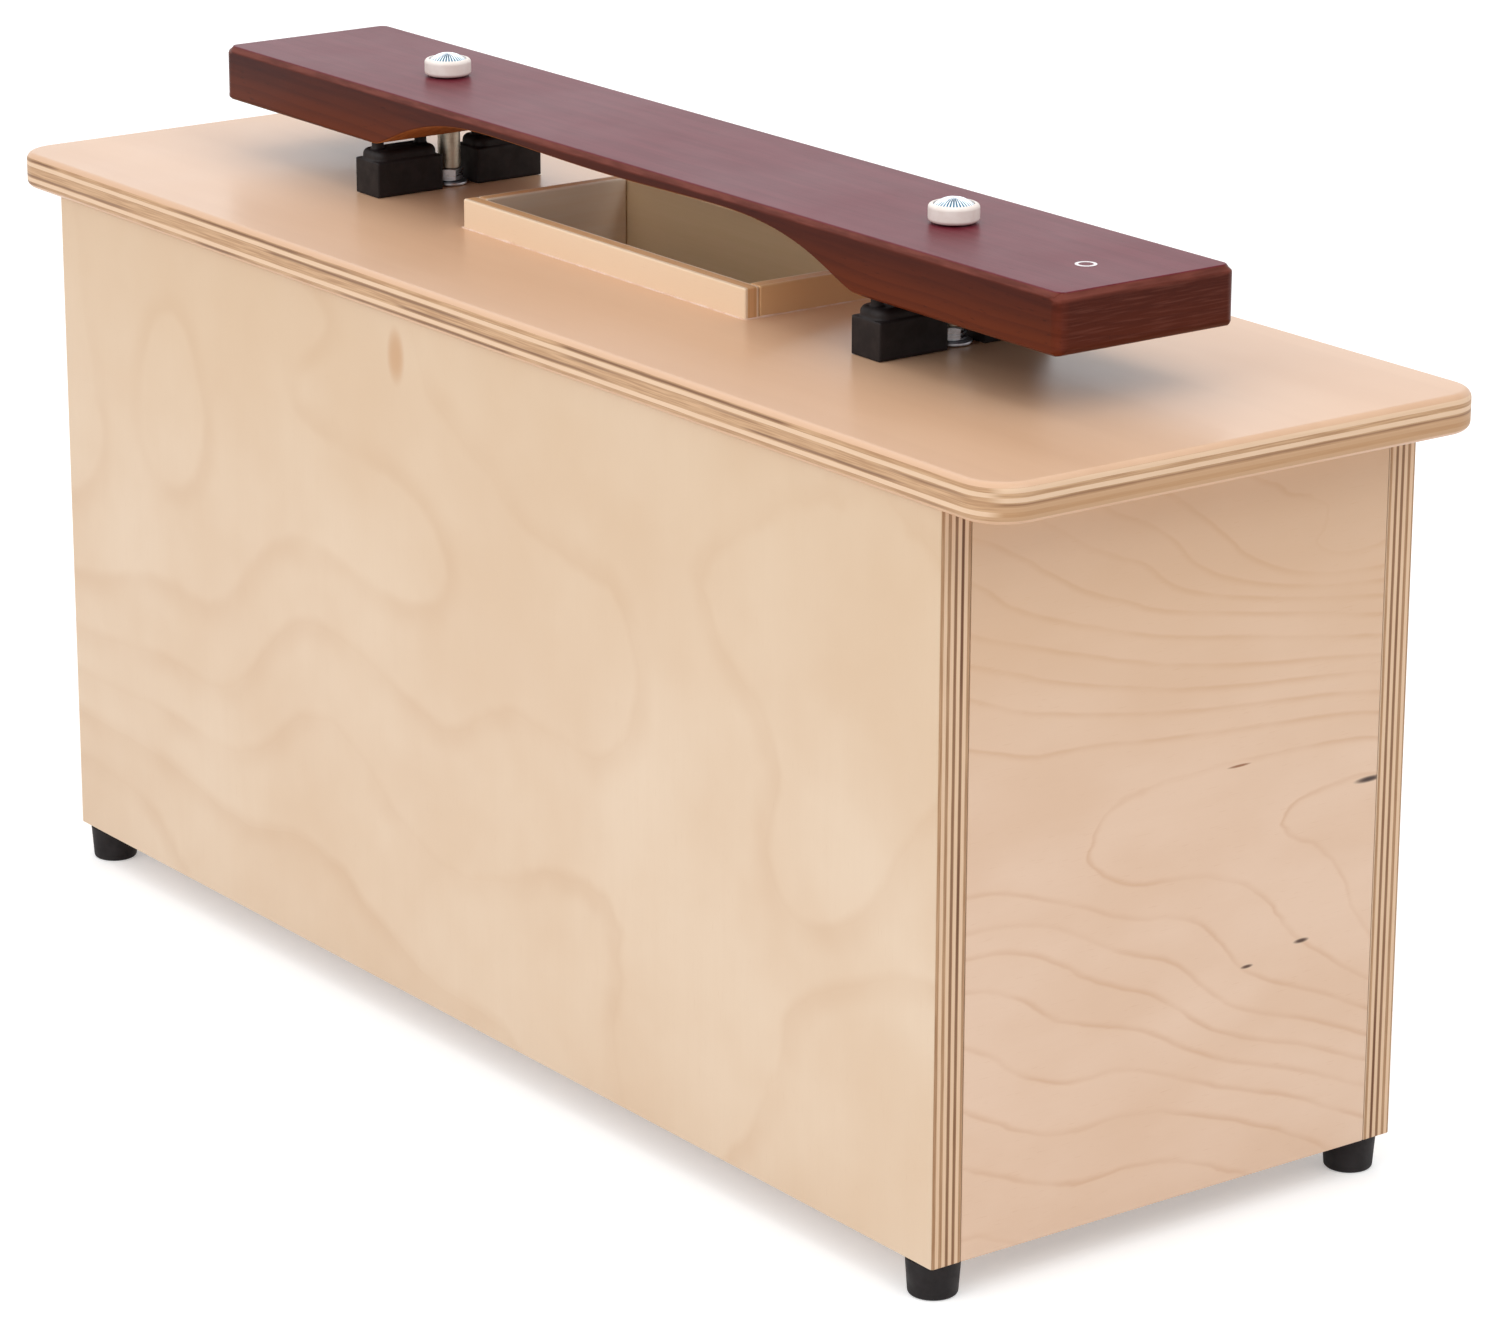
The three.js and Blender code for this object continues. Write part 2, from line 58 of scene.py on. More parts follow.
def shade(red, green, blue):
    """A colour given as it looks on a screen, 0 to 255, turned into linear RGBA."""
    parts = [channel / 255 for channel in (red, green, blue)]
    return (*(p / 12.92 if p <= 0.04045 else ((p + 0.055) / 1.055) ** 2.4 for p in parts), 1.0)


def operation(name, swapped=False):
    """A method that adds a math node to a wire, with the wire as its last value if swapped."""
    def method(self, *others):
        return self.graph.math(name, *((*others, self) if swapped else (self, *others)))
    return method


class Wire:
    """A node's output. Sums, products and comparisons of wires and numbers become math nodes."""

    def __init__(self, graph, socket):
        self.graph, self.socket = graph, socket

    __add__ = __radd__ = operation("ADD")
    __mul__ = __rmul__ = operation("MULTIPLY")
    __sub__, __rsub__ = operation("SUBTRACT"), operation("SUBTRACT", True)
    __truediv__, __rtruediv__ = operation("DIVIDE"), operation("DIVIDE", True)
    __pow__ = operation("POWER")
    __gt__, __lt__ = operation("GREATER_THAN"), operation("LESS_THAN")
    __abs__ = operation("ABSOLUTE")


class Graph:
    """Adds nodes to one tree. A value may be a number, a colour or a wire."""

    def __init__(self, tree):
        self.tree = tree

    def feed(self, socket, value):
        if isinstance(value, Wire):
            self.tree.links.new(value.socket, socket)
        else:
            socket.default_value = value

    def add(self, kind, inputs=None, **settings):
        """Adds a node; returns its outputs by number and by name, the first where two share a name."""
        node = self.tree.nodes.new(kind)
        for name, value in settings.items():
            setattr(node, name, value)
        for name, value in (inputs or {}).items():
            self.feed(node.inputs[name], value)
        wires = [Wire(self, socket) for socket in node.outputs]
        return {**dict(enumerate(wires)), **{wire.socket.name: wire for wire in reversed(wires)}}

    def use(self, group, inputs):
        return self.add("ShaderNodeGroup", inputs, node_tree=group)

    def math(self, name, *values):
        return self.add("ShaderNodeMath", dict(enumerate(values)), operation=name)[0]

    def ease(self, value, low, high, start=0.0, end=1.0):
        """Goes smoothly from start to end while the value goes from low to high."""
        sizes = {"Value": value, "From Min": low, "From Max": high, "To Min": start, "To Max": end}
        return self.add("ShaderNodeMapRange", sizes, interpolation_type="SMOOTHSTEP")["Result"]

    def mix(self, share, *colours):
        """A blend of two colours, each a wire or a screen colour."""
        first, second = (shade(*colour) if isinstance(colour, tuple) else colour for colour in colours)
        return self.add("ShaderNodeMix", {0: share, 6: first, 7: second}, data_type="RGBA")[2]

    def layers(self, colour, *coats):
        """A colour under coats, each the share and the colour of one."""
        for share, tint in coats:
            colour = self.mix(share, colour, tint)
        return colour

    def combine(self, x, y, z):
        return self.add("ShaderNodeCombineXYZ", {"X": x, "Y": y, "Z": z})["Vector"]

    def split(self, vector):
        parts = self.add("ShaderNodeSeparateXYZ", {"Vector": vector})
        return {axis: parts[axis.upper()] for axis in "xyz"}

    def noise(self, vector, scale=1.0, detail=2.0, roughness=0.5):
        inputs = {"Vector": vector, "Scale": scale, "Detail": detail, "Roughness": roughness}
        return self.add("ShaderNodeTexNoise", inputs)["Fac"]

    def streaks(self, spot, rates, detail):
        """Noise that changes at a rate of its own along each axis."""
        parts = (spot[axis] * rate for axis, rate in zip("xyz", rates))
        return self.noise(self.combine(*parts), detail=detail)

    def place(self):
        """Object coordinates, which are the part's own frame."""
        return self.add("ShaderNodeTexCoord")["Object"]

    def attribute(self, name):
        return self.add("ShaderNodeAttribute", attribute_name=name)["Fac"]


class Finish(Graph):
    """A new material and the graph that feeds its shader."""

    def __init__(self, name, constants=None):
        self.material = bpy.data.materials.new(name)
        self.material.use_nodes = True
        super().__init__(self.material.node_tree)
        self.inputs = self.tree.nodes["Principled BSDF"].inputs
        for label, value in (constants or {}).items():
            self.inputs[label].default_value = value

    def handled(self, place, size, least, most):
        """The uneven roughness of a handled surface."""
        return self.use(HANDLING, {"Vector": place, "Size": size, "Least": least, "Most": most})["Roughness"]

    def dress(self, colour, roughness, height=None, strength=0.0, distance=0.0):
        """Feeds the shader its colour, its roughness and the relief of a height; returns the material."""
        self.feed(self.inputs["Base Color"], colour)
        self.feed(self.inputs["Roughness"], roughness)
        if height is not None:
            bump = self.add("ShaderNodeBump", {"Height": height, "Strength": strength, "Distance": distance})
            self.feed(self.inputs["Normal"], bump["Normal"])
        return self.material


def effect(name, numbers, results):
    """Starts a shader node group; returns it with its graph, its inputs and its outputs."""
    tree = bpy.data.node_groups.new(name, "ShaderNodeTree")
    for label, value in numbers.items():
        kind = "NodeSocketVector" if label == "Vector" else "NodeSocketFloat"
        tree.interface.new_socket(label, in_out="INPUT", socket_type=kind).default_value = value
    for label in results:
        kind = "NodeSocketColor" if label == "Color" else "NodeSocketFloat"
        tree.interface.new_socket(label, in_out="OUTPUT", socket_type=kind)
    graph = Graph(tree)
    return tree, graph, graph.add("NodeGroupInput"), tree.nodes.new("NodeGroupOutput").inputs


# ---- Effects that several finishes share ----

def make_fine_grain():
    """Thin streaks and short pores along X of the vector, which is in metres."""
    tree, graph, given, out = effect("fine_grain", {"Vector": (0, 0, 0), "Coarse": 1.0}, ["Streak", "Pore"])
    place = graph.split(given["Vector"])

    def stretched(along_rate, cross_rate, detail):
        cross = cross_rate / given["Coarse"]
        return graph.streaks(place, (along_rate, cross, cross), detail)

    wide = stretched(14.0, 260.0, 2.0)
    thin = stretched(30.0, 1100.0, 2.0)
    graph.feed(out["Streak"], graph.ease(wide * 0.55 + thin * 0.45, 0.33, 0.67))
    graph.feed(out["Pore"], graph.ease(stretched(160.0, 2400.0, 1.0), 0.66, 0.78))
    return tree


def make_growth_rings():
    """Ring lines of a rotary-cut face, drawn where a slowly changing height passes whole numbers.

    The height is counted in rings and its slopes in rings per metre, so a line is Soft wide on its
    fading side and Crisp wide on the other.
    """
    numbers = {"Along": 0.0, "Across": 0.0, "Start": 0.0, "Lean": 50.0, "Tilt": 0.0, "Hill": 0.0,
               "Slope Along": 0.0, "Slope Across": 0.0, "Wander": 1.0, "Ripple": 0.16, "Stretch": 0.12,
               "Breadth": 0.06, "Soft": 0.003, "Crisp": 0.001, "Seed": 0.0}
    tree, graph, given, out = effect("growth_rings", numbers, ["Line", "Tone"])
    spot = graph.combine(given["Along"] / given["Stretch"], given["Across"] / given["Breadth"], given["Seed"])
    bend = graph.noise(spot, 1.0, 1.0) - 0.5
    ripple = graph.noise(spot, 6.0, 2.0) - 0.5
    height = given["Start"] + given["Hill"] + given["Across"] * given["Lean"] + given["Along"] * given["Tilt"]
    height = height + bend * given["Wander"] + ripple * given["Ripple"]
    slopes = (given["Tilt"] + given["Slope Along"]) ** 2.0 + (given["Lean"] + given["Slope Across"]) ** 2.0
    slope = graph.math("SQRT", slopes)
    step = graph.math("FRACT", height)
    fading = graph.ease((1.0 - step) / slope, 0.0, given["Soft"], 1.0, 0.0) ** 1.6
    line = graph.math("MAXIMUM", fading, graph.ease(step / slope, 0.0, given["Crisp"], 1.0, 0.0))
    strength = graph.ease(graph.noise(spot, 2.3, 2.0), 0.34, 0.62, 0.3, 1.0)
    graph.feed(out["Line"], line * strength)
    band = graph.noise(graph.combine(graph.math("FLOOR", height) * 3.7, given["Seed"], 0.0))
    mottle = graph.noise(spot, 1.7, 3.0) * 0.7 + band * 0.3
    graph.feed(out["Tone"], graph.ease(mottle, 0.32, 0.68))
    return tree


def make_figure_hill():
    """A smooth hill that bends ring lines round a spot of the face, and its two slopes there."""
    numbers = {"Along": 0.0, "Across": 0.0, "Centre Along": 0.0, "Centre Across": 0.0,
               "Reach Along": 0.04, "Reach Across": 0.02, "Height": 1.0}
    tree, graph, given, out = effect("figure_hill", numbers, ["Hill", "Slope Along", "Slope Across"])
    parts = {way: (given[way] - given["Centre " + way]) / given["Reach " + way]
             for way in ("Along", "Across")}
    away = parts["Along"] ** 2.0 + parts["Across"] ** 2.0
    hill = graph.math("EXPONENT", away * -1.0) * given["Height"]
    graph.feed(out["Hill"], hill)
    for way, part in parts.items():
        graph.feed(out["Slope " + way], part * -2.0 / given["Reach " + way] * hill)
    return tree


def make_ply_edge():
    """The cut edge of plywood: pale plies and tan end-grain plies, which are dark for a stretch.

    First is 0 where the second, fourth and so on show end grain and 1 where the first, third and so on
    do, and Middle is 1 where the middle ply is tan as well. Inner and Outer say how dark the end grain
    gets near Centre and away from it, and Least how much of that is left between the dark stretches.
    Lower is how tan the lower half is, and Skin how many plies deep the look of the face reaches round
    the edge.
    """
    numbers = {"Depth": 0.0, "Sheet": 0.012, "Plies": 9.0, "First": 0.0, "Middle": 0.0, "Centre": 0.5,
               "Inner": 0.8, "Outer": 0.5, "Least": 0.5, "Run": 5.0, "Spread": 0.3, "Lower": 0.0,
               "Skin": 0.9, "Along": 0.0, "Seed": 0.0}
    tree, graph, given, out = effect("ply_edge", numbers, ["Color", "Edge", "Dip"])
    along, depth = given["Along"], given["Depth"]
    part = depth / given["Sheet"]
    wave = graph.noise(graph.combine(along * 9.0, given["Seed"], 0.0), detail=3.0)
    layer = (wave - 0.5) * 0.3 + part * given["Plies"]
    number = graph.math("FLOOR", layer)
    within = graph.math("FRACT", layer)
    end_grain = abs(graph.math("MODULO", number + given["First"], 2.0))
    core = abs(number - (given["Plies"] - 1.0) * 0.5) < 0.5
    tan_ply = graph.math("MAXIMUM", end_grain, core * given["Middle"])
    strip = number * 5.37 + given["Seed"]
    slow = graph.noise(graph.combine(along * given["Run"], strip, 0.0), detail=2.0)
    quick = graph.noise(graph.combine(along * 55.0, strip, layer * 3.0), detail=3.0)
    darkness = graph.ease(abs(part - given["Centre"]), 0.13, 0.21, given["Inner"], given["Outer"])
    stretch = graph.ease(slow, 0.5, 0.56, given["Least"], 1.0)
    shape = graph.ease(within, 0.0, given["Spread"]) * graph.ease(1.0 - within, 0.0, given["Spread"])
    streak = darkness * stretch * (shape * end_grain)
    light = graph.mix(quick, (234, 203, 172), (221, 185, 151))
    tan = graph.mix(graph.ease(quick, 0.3, 0.7), (209, 169, 130), (178, 136, 97))
    low_half = graph.ease(part, 0.45, 0.6) * given["Lower"]
    glue = graph.ease(within, 0.0, 0.1, 1.0, 0.0) + graph.ease(within, 0.92, 1.0)
    seam = glue * graph.ease(quick, 0.4, 0.7, 0.0, 0.15)
    graph.feed(out["Color"], graph.layers(light, (tan_ply, tan), (streak, (104, 63, 34)),
                                          (low_half, (186, 142, 100)), (seam, (128, 86, 56))))
    skin = given["Sheet"] / given["Plies"] * given["Skin"]
    graph.feed(out["Edge"], (depth > skin) * (depth < given["Sheet"] - skin))
    graph.feed(out["Dip"], end_grain * quick)
    return tree


def make_handling():
    """Faint uneven sheen that hands and cloths leave on a surface."""
    numbers = {"Vector": (0, 0, 0), "Size": 0.03, "Least": 0.4, "Most": 0.5}
    tree, graph, given, out = effect("handling", numbers, ["Roughness"])
    near = graph.noise(given["Vector"], 1.0 / given["Size"], 4.0, 0.6)
    graph.feed(out["Roughness"], graph.ease(near, 0.3, 0.7, given["Least"], given["Most"]))
    return tree


FINE_GRAIN = make_fine_grain()
GROWTH_RINGS = make_growth_rings()
FIGURE_HILL = make_figure_hill()
PLY_EDGE = make_ply_edge()
HANDLING = make_handling()


# ---- Finishes ----

HILL_SIZES = ("Centre Along", "Centre Across", "Reach Along", "Reach Across", "Height")
HANDLING_SIZE = 0.09  # of the marks on lacquered wood


def figure_of(graph, along, across, hills):
    """The summed height and slopes of a face's hills, as inputs for the ring lines."""
    figure = {}
    for hill in hills:
        drawn = graph.use(FIGURE_HILL, {**dict(zip(HILL_SIZES, hill)), "Along": along, "Across": across})
        for result in ("Hill", "Slope Along", "Slope Across"):
            figure[result] = figure[result] + drawn[result] if result in figure else drawn[result]
    return figure


def birch(name, along, across, depth, ply, rings, tints, hills=(), marks=(), seed=0.0, sheen=(0.38, 0.5),
          pores=0.15, side_ply=None, inside=None, edge_zone=None, edge_tint=None, painted_top_shade=()):
    """Lacquered birch plywood.

    along and across are the grain's axes on the face; depth is (axis, outer face, direction inwards).
    ply holds the inputs of ply_edge, and side_ply those that differ on the plate's edges that face
    along X. tints are the pale wood, the warm wood and the ring line, each as a screen colour; inside
    is the colour of the hidden face. The last argument holds painted shade: colours that darken a panel
    towards its top, where the plate's overhang shades it, each with its share and the heights between
    which it comes. Plies show only above the height and beyond the length of edge_zone, tinted by the
    share of a colour in edge_tint.
    """
    graph = Finish(name)
    place = graph.place()
    spot = graph.split(place)
    third = ({"x", "y", "z"} - {along, across}).pop()
    along, across = spot[along], spot[across]
    pale, warm, line_tint = tints
    figure = figure_of(graph, along, across, hills)
    drawn = graph.use(GROWTH_RINGS, {"Along": along, "Across": across, "Seed": seed, **figure,
                                     **rings["shape"]})
    grain = graph.use(FINE_GRAIN, {"Vector": graph.combine(along, across, spot[third])})
    streak = grain["Streak"]
    coats = [(drawn["Tone"] * rings["tone"], warm), (drawn["Line"] * rings["line"], line_tint),
             (streak * 0.10, warm), (grain["Pore"] * pores, line_tint)]
    # Painted shade: each colour darkens the panel towards its top, standing in for the shade under the
    # plate's overhang.
    for tint, share, start, end in painted_top_shade:
        coats.append((graph.ease(spot["z"], start, end, 0.0, share), tint))
    for mid_along, mid_across, length, width, tint in marks:
        away = ((along - mid_along) / length) ** 2.0 + ((across - mid_across) / width) ** 2.0
        coats.append((graph.ease(away, 0.0, 1.0, 1.0, 0.0), tint))
    axis, face, inwards = depth
    inward = (spot[axis] - face) * inwards
    if inside:
        coats.append((inward > ply["Sheet"] - 0.5 * MM, graph.mix(streak * 0.3, inside, warm)))
    looks = {**ply, "Depth": inward, "Seed": seed, "Along": along + across}
    edge = graph.use(PLY_EDGE, looks)
    plies, shown = edge["Color"], edge["Edge"]
    if side_ply:
        beyond = (abs(spot["x"]) - plate_high.x) - (abs(spot["y"]) - plate_high.y)
        side = graph.use(PLY_EDGE, {**looks, **side_ply})["Color"]
        plies = graph.mix(graph.ease(beyond, -5 * MM, 5 * MM), plies, side)
    if edge_tint:
        plies = graph.layers(plies, edge_tint)
    if edge_zone:
        height, length = edge_zone
        shown = shown * graph.math("MAXIMUM", spot["z"] > height, abs(spot["x"]) > length)
    roughness = shown * 0.2 + graph.handled(place, HANDLING_SIZE, *sheen)
    height = streak * 0.3 - edge["Dip"] * shown
    return graph.dress(graph.layers(pale, *coats, (shown, plies)), roughness, height, 0.06, 0.15 * MM)


def bar_wood():
    """Dense red-brown hardwood under satin lacquer, its rings cut lengthwise and its ends sawn.

    Its top is painted mauve, a painted sheen of the lacquer, and its lower part is painted warmer and
    lighter, a painted bounce of light from the plate. Where the edge attribute is 1 an edge is painted
    lighter, partly wear and partly a painted highlight, and where the tuned attribute is 1 the wood was
    cut after lacquering and is bare and paler.
    """
    graph = Finish("bar_hardwood", {"Specular IOR Level": 0.11, "Specular Tint": (1.0, 0.5, 0.42, 1.0)})
    place = graph.place()
    spot = graph.split(place)
    grain = graph.use(FINE_GRAIN, {"Vector": place, "Coarse": 1.6})
    streak, pore = grain["Streak"], grain["Pore"]
    bend = graph.streaks(spot, (5.0, 7.0, 16.0), 2.0)
    ring_width = 0.0046
    step = graph.math("FRACT", (spot["y"] * 0.12 + spot["z"] * 0.98 + bend * 0.022) / ring_width)
    ring = graph.ease(step, 0.1, 0.93) ** 2.0 * graph.ease(step, 0.93, 1.0, 1.0, 0.0)
    # Painted light: the wood is warmer and lighter towards the bottom, standing in for light bounced up from
    # the plate.
    lower = graph.ease(spot["z"], bar_low.z, bar_high.z, 0.75, 0.0)
    broad = (bend - 0.5) * 0.7 + lower
    end = graph.ease(abs(spot["x"]), bar_high.x - 1.6 * MM, bar_high.x - 0.4 * MM)
    sawn = graph.ease(graph.streaks(spot, (20.0, 60.0, 1300.0), 3.0), 0.45, 0.75, 0.0, 0.4)
    # Edges painted lighter in patches: partly wear and partly a painted highlight along the chamfer.
    patches = graph.ease(graph.streaks(spot, (70.0, 70.0, 600.0), 3.0), 0.34, 0.66, 0.4, 0.85)
    wear_highlight, tuned = graph.attribute("wear_highlight"), graph.attribute("tuned")
    # Painted sheen: the top face is painted mauve, standing in for the lacquer's sheen.
    painted_top_sheen = graph.ease(spot["z"], bar_high.z - 0.5 * MM, bar_high.z - 0.05 * MM)
    haze = graph.layers((97, 28, 41), (streak, (108, 39, 51)), (pore * 0.5, (78, 25, 31)))
    bare = graph.mix(streak, (172, 108, 60), (140, 80, 42))
    colour = graph.layers((57, 17, 12), (broad, (106, 47, 22)), (ring * 0.3, (48, 14, 11)),
                          (streak * 0.25, (100, 42, 23)), (pore * 0.45, (34, 11, 9)),
                          (end * 0.6, (70, 30, 23)), (end * sawn, (112, 66, 56)),
                          (wear_highlight * patches, (118, 62, 52)), (painted_top_sheen, haze), (tuned, bare))
    roughness = tuned * 0.3 + graph.handled(place, HANDLING_SIZE, 0.33, 0.38)
    return graph.dress(colour, roughness, streak * 0.25 - pore, 0.15, 0.12 * MM)


def mottled(name, first, second, cloud, sheen, share=1.0, grit=None, constants=None):
    """A finish that drifts from one screen colour to a share of another.

    cloud is the noise of the drift and its range (scale, detail, roughness, low, high), sheen is the
    handling (size, least, most) and grit is a fine relief (scale, strength, distance).
    """
    graph = Finish(name, constants)
    place = graph.place()
    *kind, low, high = cloud
    drift = graph.ease(graph.noise(place, *kind), low, high, 0.0, share)
    relief = (graph.noise(place, grit[0], 2.0), *grit[1:]) if grit else ()
    return graph.dress(graph.mix(drift, first, second), graph.handled(place, *sheen), *relief)


def rubber(name, dark, dusty):
    """Moulded black rubber with a fine dry surface."""
    return mottled(name, dark, dusty, (160.0, 4.0, 0.65, 0.4, 0.75), (0.006, 0.55, 0.75), 0.6,
                   (2600.0, 0.2, 0.08 * MM), {"Specular IOR Level": 0.3})


def plated(name, clean, tarnish, least, most, lines):
    """Plated or turned metal with faint turning lines about +Z."""
    graph = Finish(name, {"Metallic": 1.0})
    place = graph.place()
    stain = graph.ease(graph.noise(place, 240.0, 4.0, 0.6), 0.42, 0.68)
    turning = graph.streaks(graph.split(place), (40.0, 40.0, lines), 2.0)
    roughness = graph.ease(turning, 0.35, 0.65, least, most)
    return graph.dress(graph.mix(stain, clean, tarnish), roughness, turning, 0.06, 0.05 * MM)


def dome_metal():
    """Bright pressed metal whose flute bottoms are painted a darker blue: painted shade and reflection."""
    graph = Finish("dome_bright_metal", {"Metallic": 1.0})
    haze = graph.ease(graph.noise(graph.place(), 420.0, 3.0), 0.4, 0.7)
    # Painted shade and reflection: the bottoms of the flutes are painted darker.
    flute_shade = graph.ease(graph.attribute("flute_shade"), 0.25, 0.75)
    colour = graph.layers((240, 245, 250), (haze, (208, 219, 228)), (flute_shade, (70, 112, 134)))
    return graph.dress(colour, graph.ease(haze, 0.0, 1.0, 0.12, 0.26))


front_low, front_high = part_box("front_panel")
back_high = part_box("back_panel")[1]
left_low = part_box("left_end_panel")[0]
right_low, right_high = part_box("right_end_panel")
bottom_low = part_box("bottom_panel")[0]
plate_low, plate_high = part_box("top_plate")
bar_low, bar_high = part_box("tone_bar")
collar_front_low, collar_front_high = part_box("collar_front")
collar_back_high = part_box("collar_back")[1]
collar_left_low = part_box("collar_left")[0]
collar_right_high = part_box("collar_right")[1]

# Pale wood, warm wood and ring line.
FRONT_TINTS = ((226, 202, 176), (217, 188, 158), (198, 158, 120))
END_TINTS = ((232, 201, 176), (223, 188, 159), (196, 142, 96))
PLATE_TINTS = ((223, 183, 150), (213, 171, 137), (192, 147, 112))
COLLAR_TINTS = ((246, 222, 194), (240, 212, 180), (212, 172, 134))
# Darker tints of the right collar board: painted shade on the board that faces right, away from the light.
COLLAR_RIGHT_SHADED_TINTS = ((236, 194, 146), (228, 183, 133), (206, 154, 104))
# Heights between which the painted shade under the plate's overhang comes in.
PAINTED_SHADE_SPAN = (120 * MM, 275 * MM)

PANEL_PLY = {"Sheet": 12 * MM, "Plies": 9.0, "First": 1.0, "Centre": 0.61, "Inner": 1.0, "Outer": 0.4,
             "Least": 0.72, "Run": 5.0, "Spread": 0.22, "Skin": 0.2}
PLATE_PLY = {"Sheet": 13.6 * MM, "Plies": 9.0, "First": 0.0, "Middle": 1.0, "Inner": 0.7, "Outer": 0.8,
             "Least": 0.1, "Run": 7.0, "Spread": 0.42, "Lower": 0.0, "Skin": 1.0}
PLATE_SIDE_PLY = {"First": 1.0, "Middle": 0.0, "Inner": 0.7, "Outer": 0.1, "Least": 0.75, "Run": 3.0,
                  "Spread": 0.5, "Lower": 0.8}
COLLAR_PLY = {"Sheet": 6.2 * MM, "Plies": 5.0, "Middle": 1.0, "Inner": 0.3, "Outer": 0.3, "Least": 0.1,
              "Run": 20.0, "Spread": 0.5, "Skin": 1.0}
BOTTOM_PLY = {"Sheet": 9 * MM, "Plies": 7.0, "Inner": 0.7, "Outer": 0.5, "Least": 0.5, "Run": 6.0}

# Ring lines: where they run, and how strong the lines and the warm patches are.
FRONT_RINGS = {"shape": {"Start": 1.21, "Lean": 0.8, "Tilt": 8.1, "Wander": 0.0, "Stretch": 0.12,
                         "Breadth": 0.12, "Soft": 14 * MM, "Crisp": 5 * MM}, "line": 0.25, "tone": 0.9}
RIGHT_RINGS = {"shape": {"Start": 7.9, "Lean": 12.3, "Tilt": -4.5, "Wander": 0.0, "Stretch": 0.10,
                         "Breadth": 0.05, "Soft": 2.6 * MM, "Crisp": 1.1 * MM}, "line": 0.34, "tone": 0.7}
QUIET_RINGS = {"shape": {"Lean": 33.0, "Wander": 0.6, "Ripple": 0.01, "Stretch": 0.30, "Breadth": 0.08,
                         "Soft": 6 * MM, "Crisp": 3 * MM}, "line": 0.22, "tone": 0.8}
PLATE_RINGS = {"shape": {**QUIET_RINGS["shape"], "Wander": 0.4, "Stretch": 0.45}, "line": 0.05, "tone": 0.8}

# Hills of the two faces in view, which close the figure into ovals, tongues and bands:
# centre along and across the grain, reach along and across it, in metres, and height in rings.
FRONT_HILLS = [
    (0.035, -0.262, 0.041, 0.093, -1.38), (0.203, -0.264, 0.130, 0.130, 4.93),
    (0.187, -0.056, 0.050, 0.095, 1.85), (0.227, -0.233, 0.072, 0.050, -1.97),
    (0.093, 0.241, 0.041, 0.050, -1.35), (0.123, 0.228, 0.124, 0.098, 1.65),
    (0.260, -0.095, 0.024, 0.062, 0.97), (0.119, 0.219, 0.028, 0.038, 0.94),
    (0.113, -0.005, 0.093, 0.075, 1.46), (0.000, 0.123, 0.084, 0.066, 1.59),
    (0.159, 0.085, 0.047, 0.043, 1.19), (0.209, -0.198, 0.038, 0.024, 1.09),
    (0.115, -0.156, 0.059, 0.041, 0.84), (0.213, 0.235, 0.029, 0.128, 0.61),
]
RIGHT_HILLS = [
    (0.036, 0.161, 0.115, 0.048, -7.65), (-0.112, 0.188, 0.100, 0.108, -9.00),
    (0.027, 0.089, 0.050, 0.047, -4.98), (0.111, 0.092, 0.061, 0.067, -9.00),
    (0.062, 0.220, 0.046, 0.014, 3.41), (-0.060, 0.073, 0.043, 0.053, -2.83),
    (-0.073, 0.086, 0.036, 0.130, 1.39), (0.053, 0.216, 0.051, 0.014, -2.98),
    (-0.051, 0.134, 0.130, 0.016, -0.94), (-0.020, 0.113, 0.027, 0.025, -1.10),
    (-0.086, 0.227, 0.036, 0.014, 0.47), (-0.014, 0.240, 0.017, 0.014, -0.46),
]
# Small marks on the same faces: place along and across the grain, length, width and colour.
FRONT_MARKS = [(0.2535, -0.0365, 0.0120, 0.0065, (200, 158, 118))]
RIGHT_MARKS = [
    (0.084, 0.1445, 0.0075, 0.0013, (58, 34, 22)), (0.056, 0.093, 0.0040, 0.0010, (74, 46, 30)),
    (0.032, 0.089, 0.0032, 0.0008, (84, 54, 36)), (0.026, 0.1605, 0.0060, 0.0006, (150, 100, 66)),
]


def turned_face(rings, hills, span):
    """The figure of a face turned half round about its middle, for the board on the other side."""
    shape = rings["shape"]
    lift = sum(length * shape[slope] for length, slope in zip(span, ("Tilt", "Lean")))
    turned_shape = {**shape, "Start": shape["Start"] + lift, "Lean": -shape["Lean"], "Tilt": -shape["Tilt"]}
    moved = [(span[0] - along, span[1] - across, *rest) for along, across, *rest in hills]
    return {"rings": {**rings, "shape": turned_shape}, "hills": moved}


BACK_FIGURE = turned_face(FRONT_RINGS, FRONT_HILLS, (front_low.z + front_high.z, 0.0))
LEFT_FIGURE = turned_face(RIGHT_RINGS, RIGHT_HILLS, (0.0, right_low.z + right_high.z))
# Painted shade: the front and end panels darken towards the top, under the plate's overhang.
FRONT_LOOK = {"ply": PANEL_PLY, "tints": FRONT_TINTS, "painted_top_shade": [((206, 172, 132), 0.35, *PAINTED_SHADE_SPAN)]}
END_LOOK = {"ply": PANEL_PLY, "tints": END_TINTS, "painted_top_shade": [((206, 166, 122), 0.5, *PAINTED_SHADE_SPAN)]}
COLLAR_LOOK = {"ply": COLLAR_PLY, "rings": QUIET_RINGS, "tints": COLLAR_TINTS, "inside": (230, 203, 162),
               "edge_zone": (collar_front_high.z - 1 * MM, collar_right_high.x - 1 * MM),
               # The ply edges' tint is partly their own warmer colour and partly painted light that makes
               # them lighter.
               "edge_tint": (0.6, (240, 186, 130))}

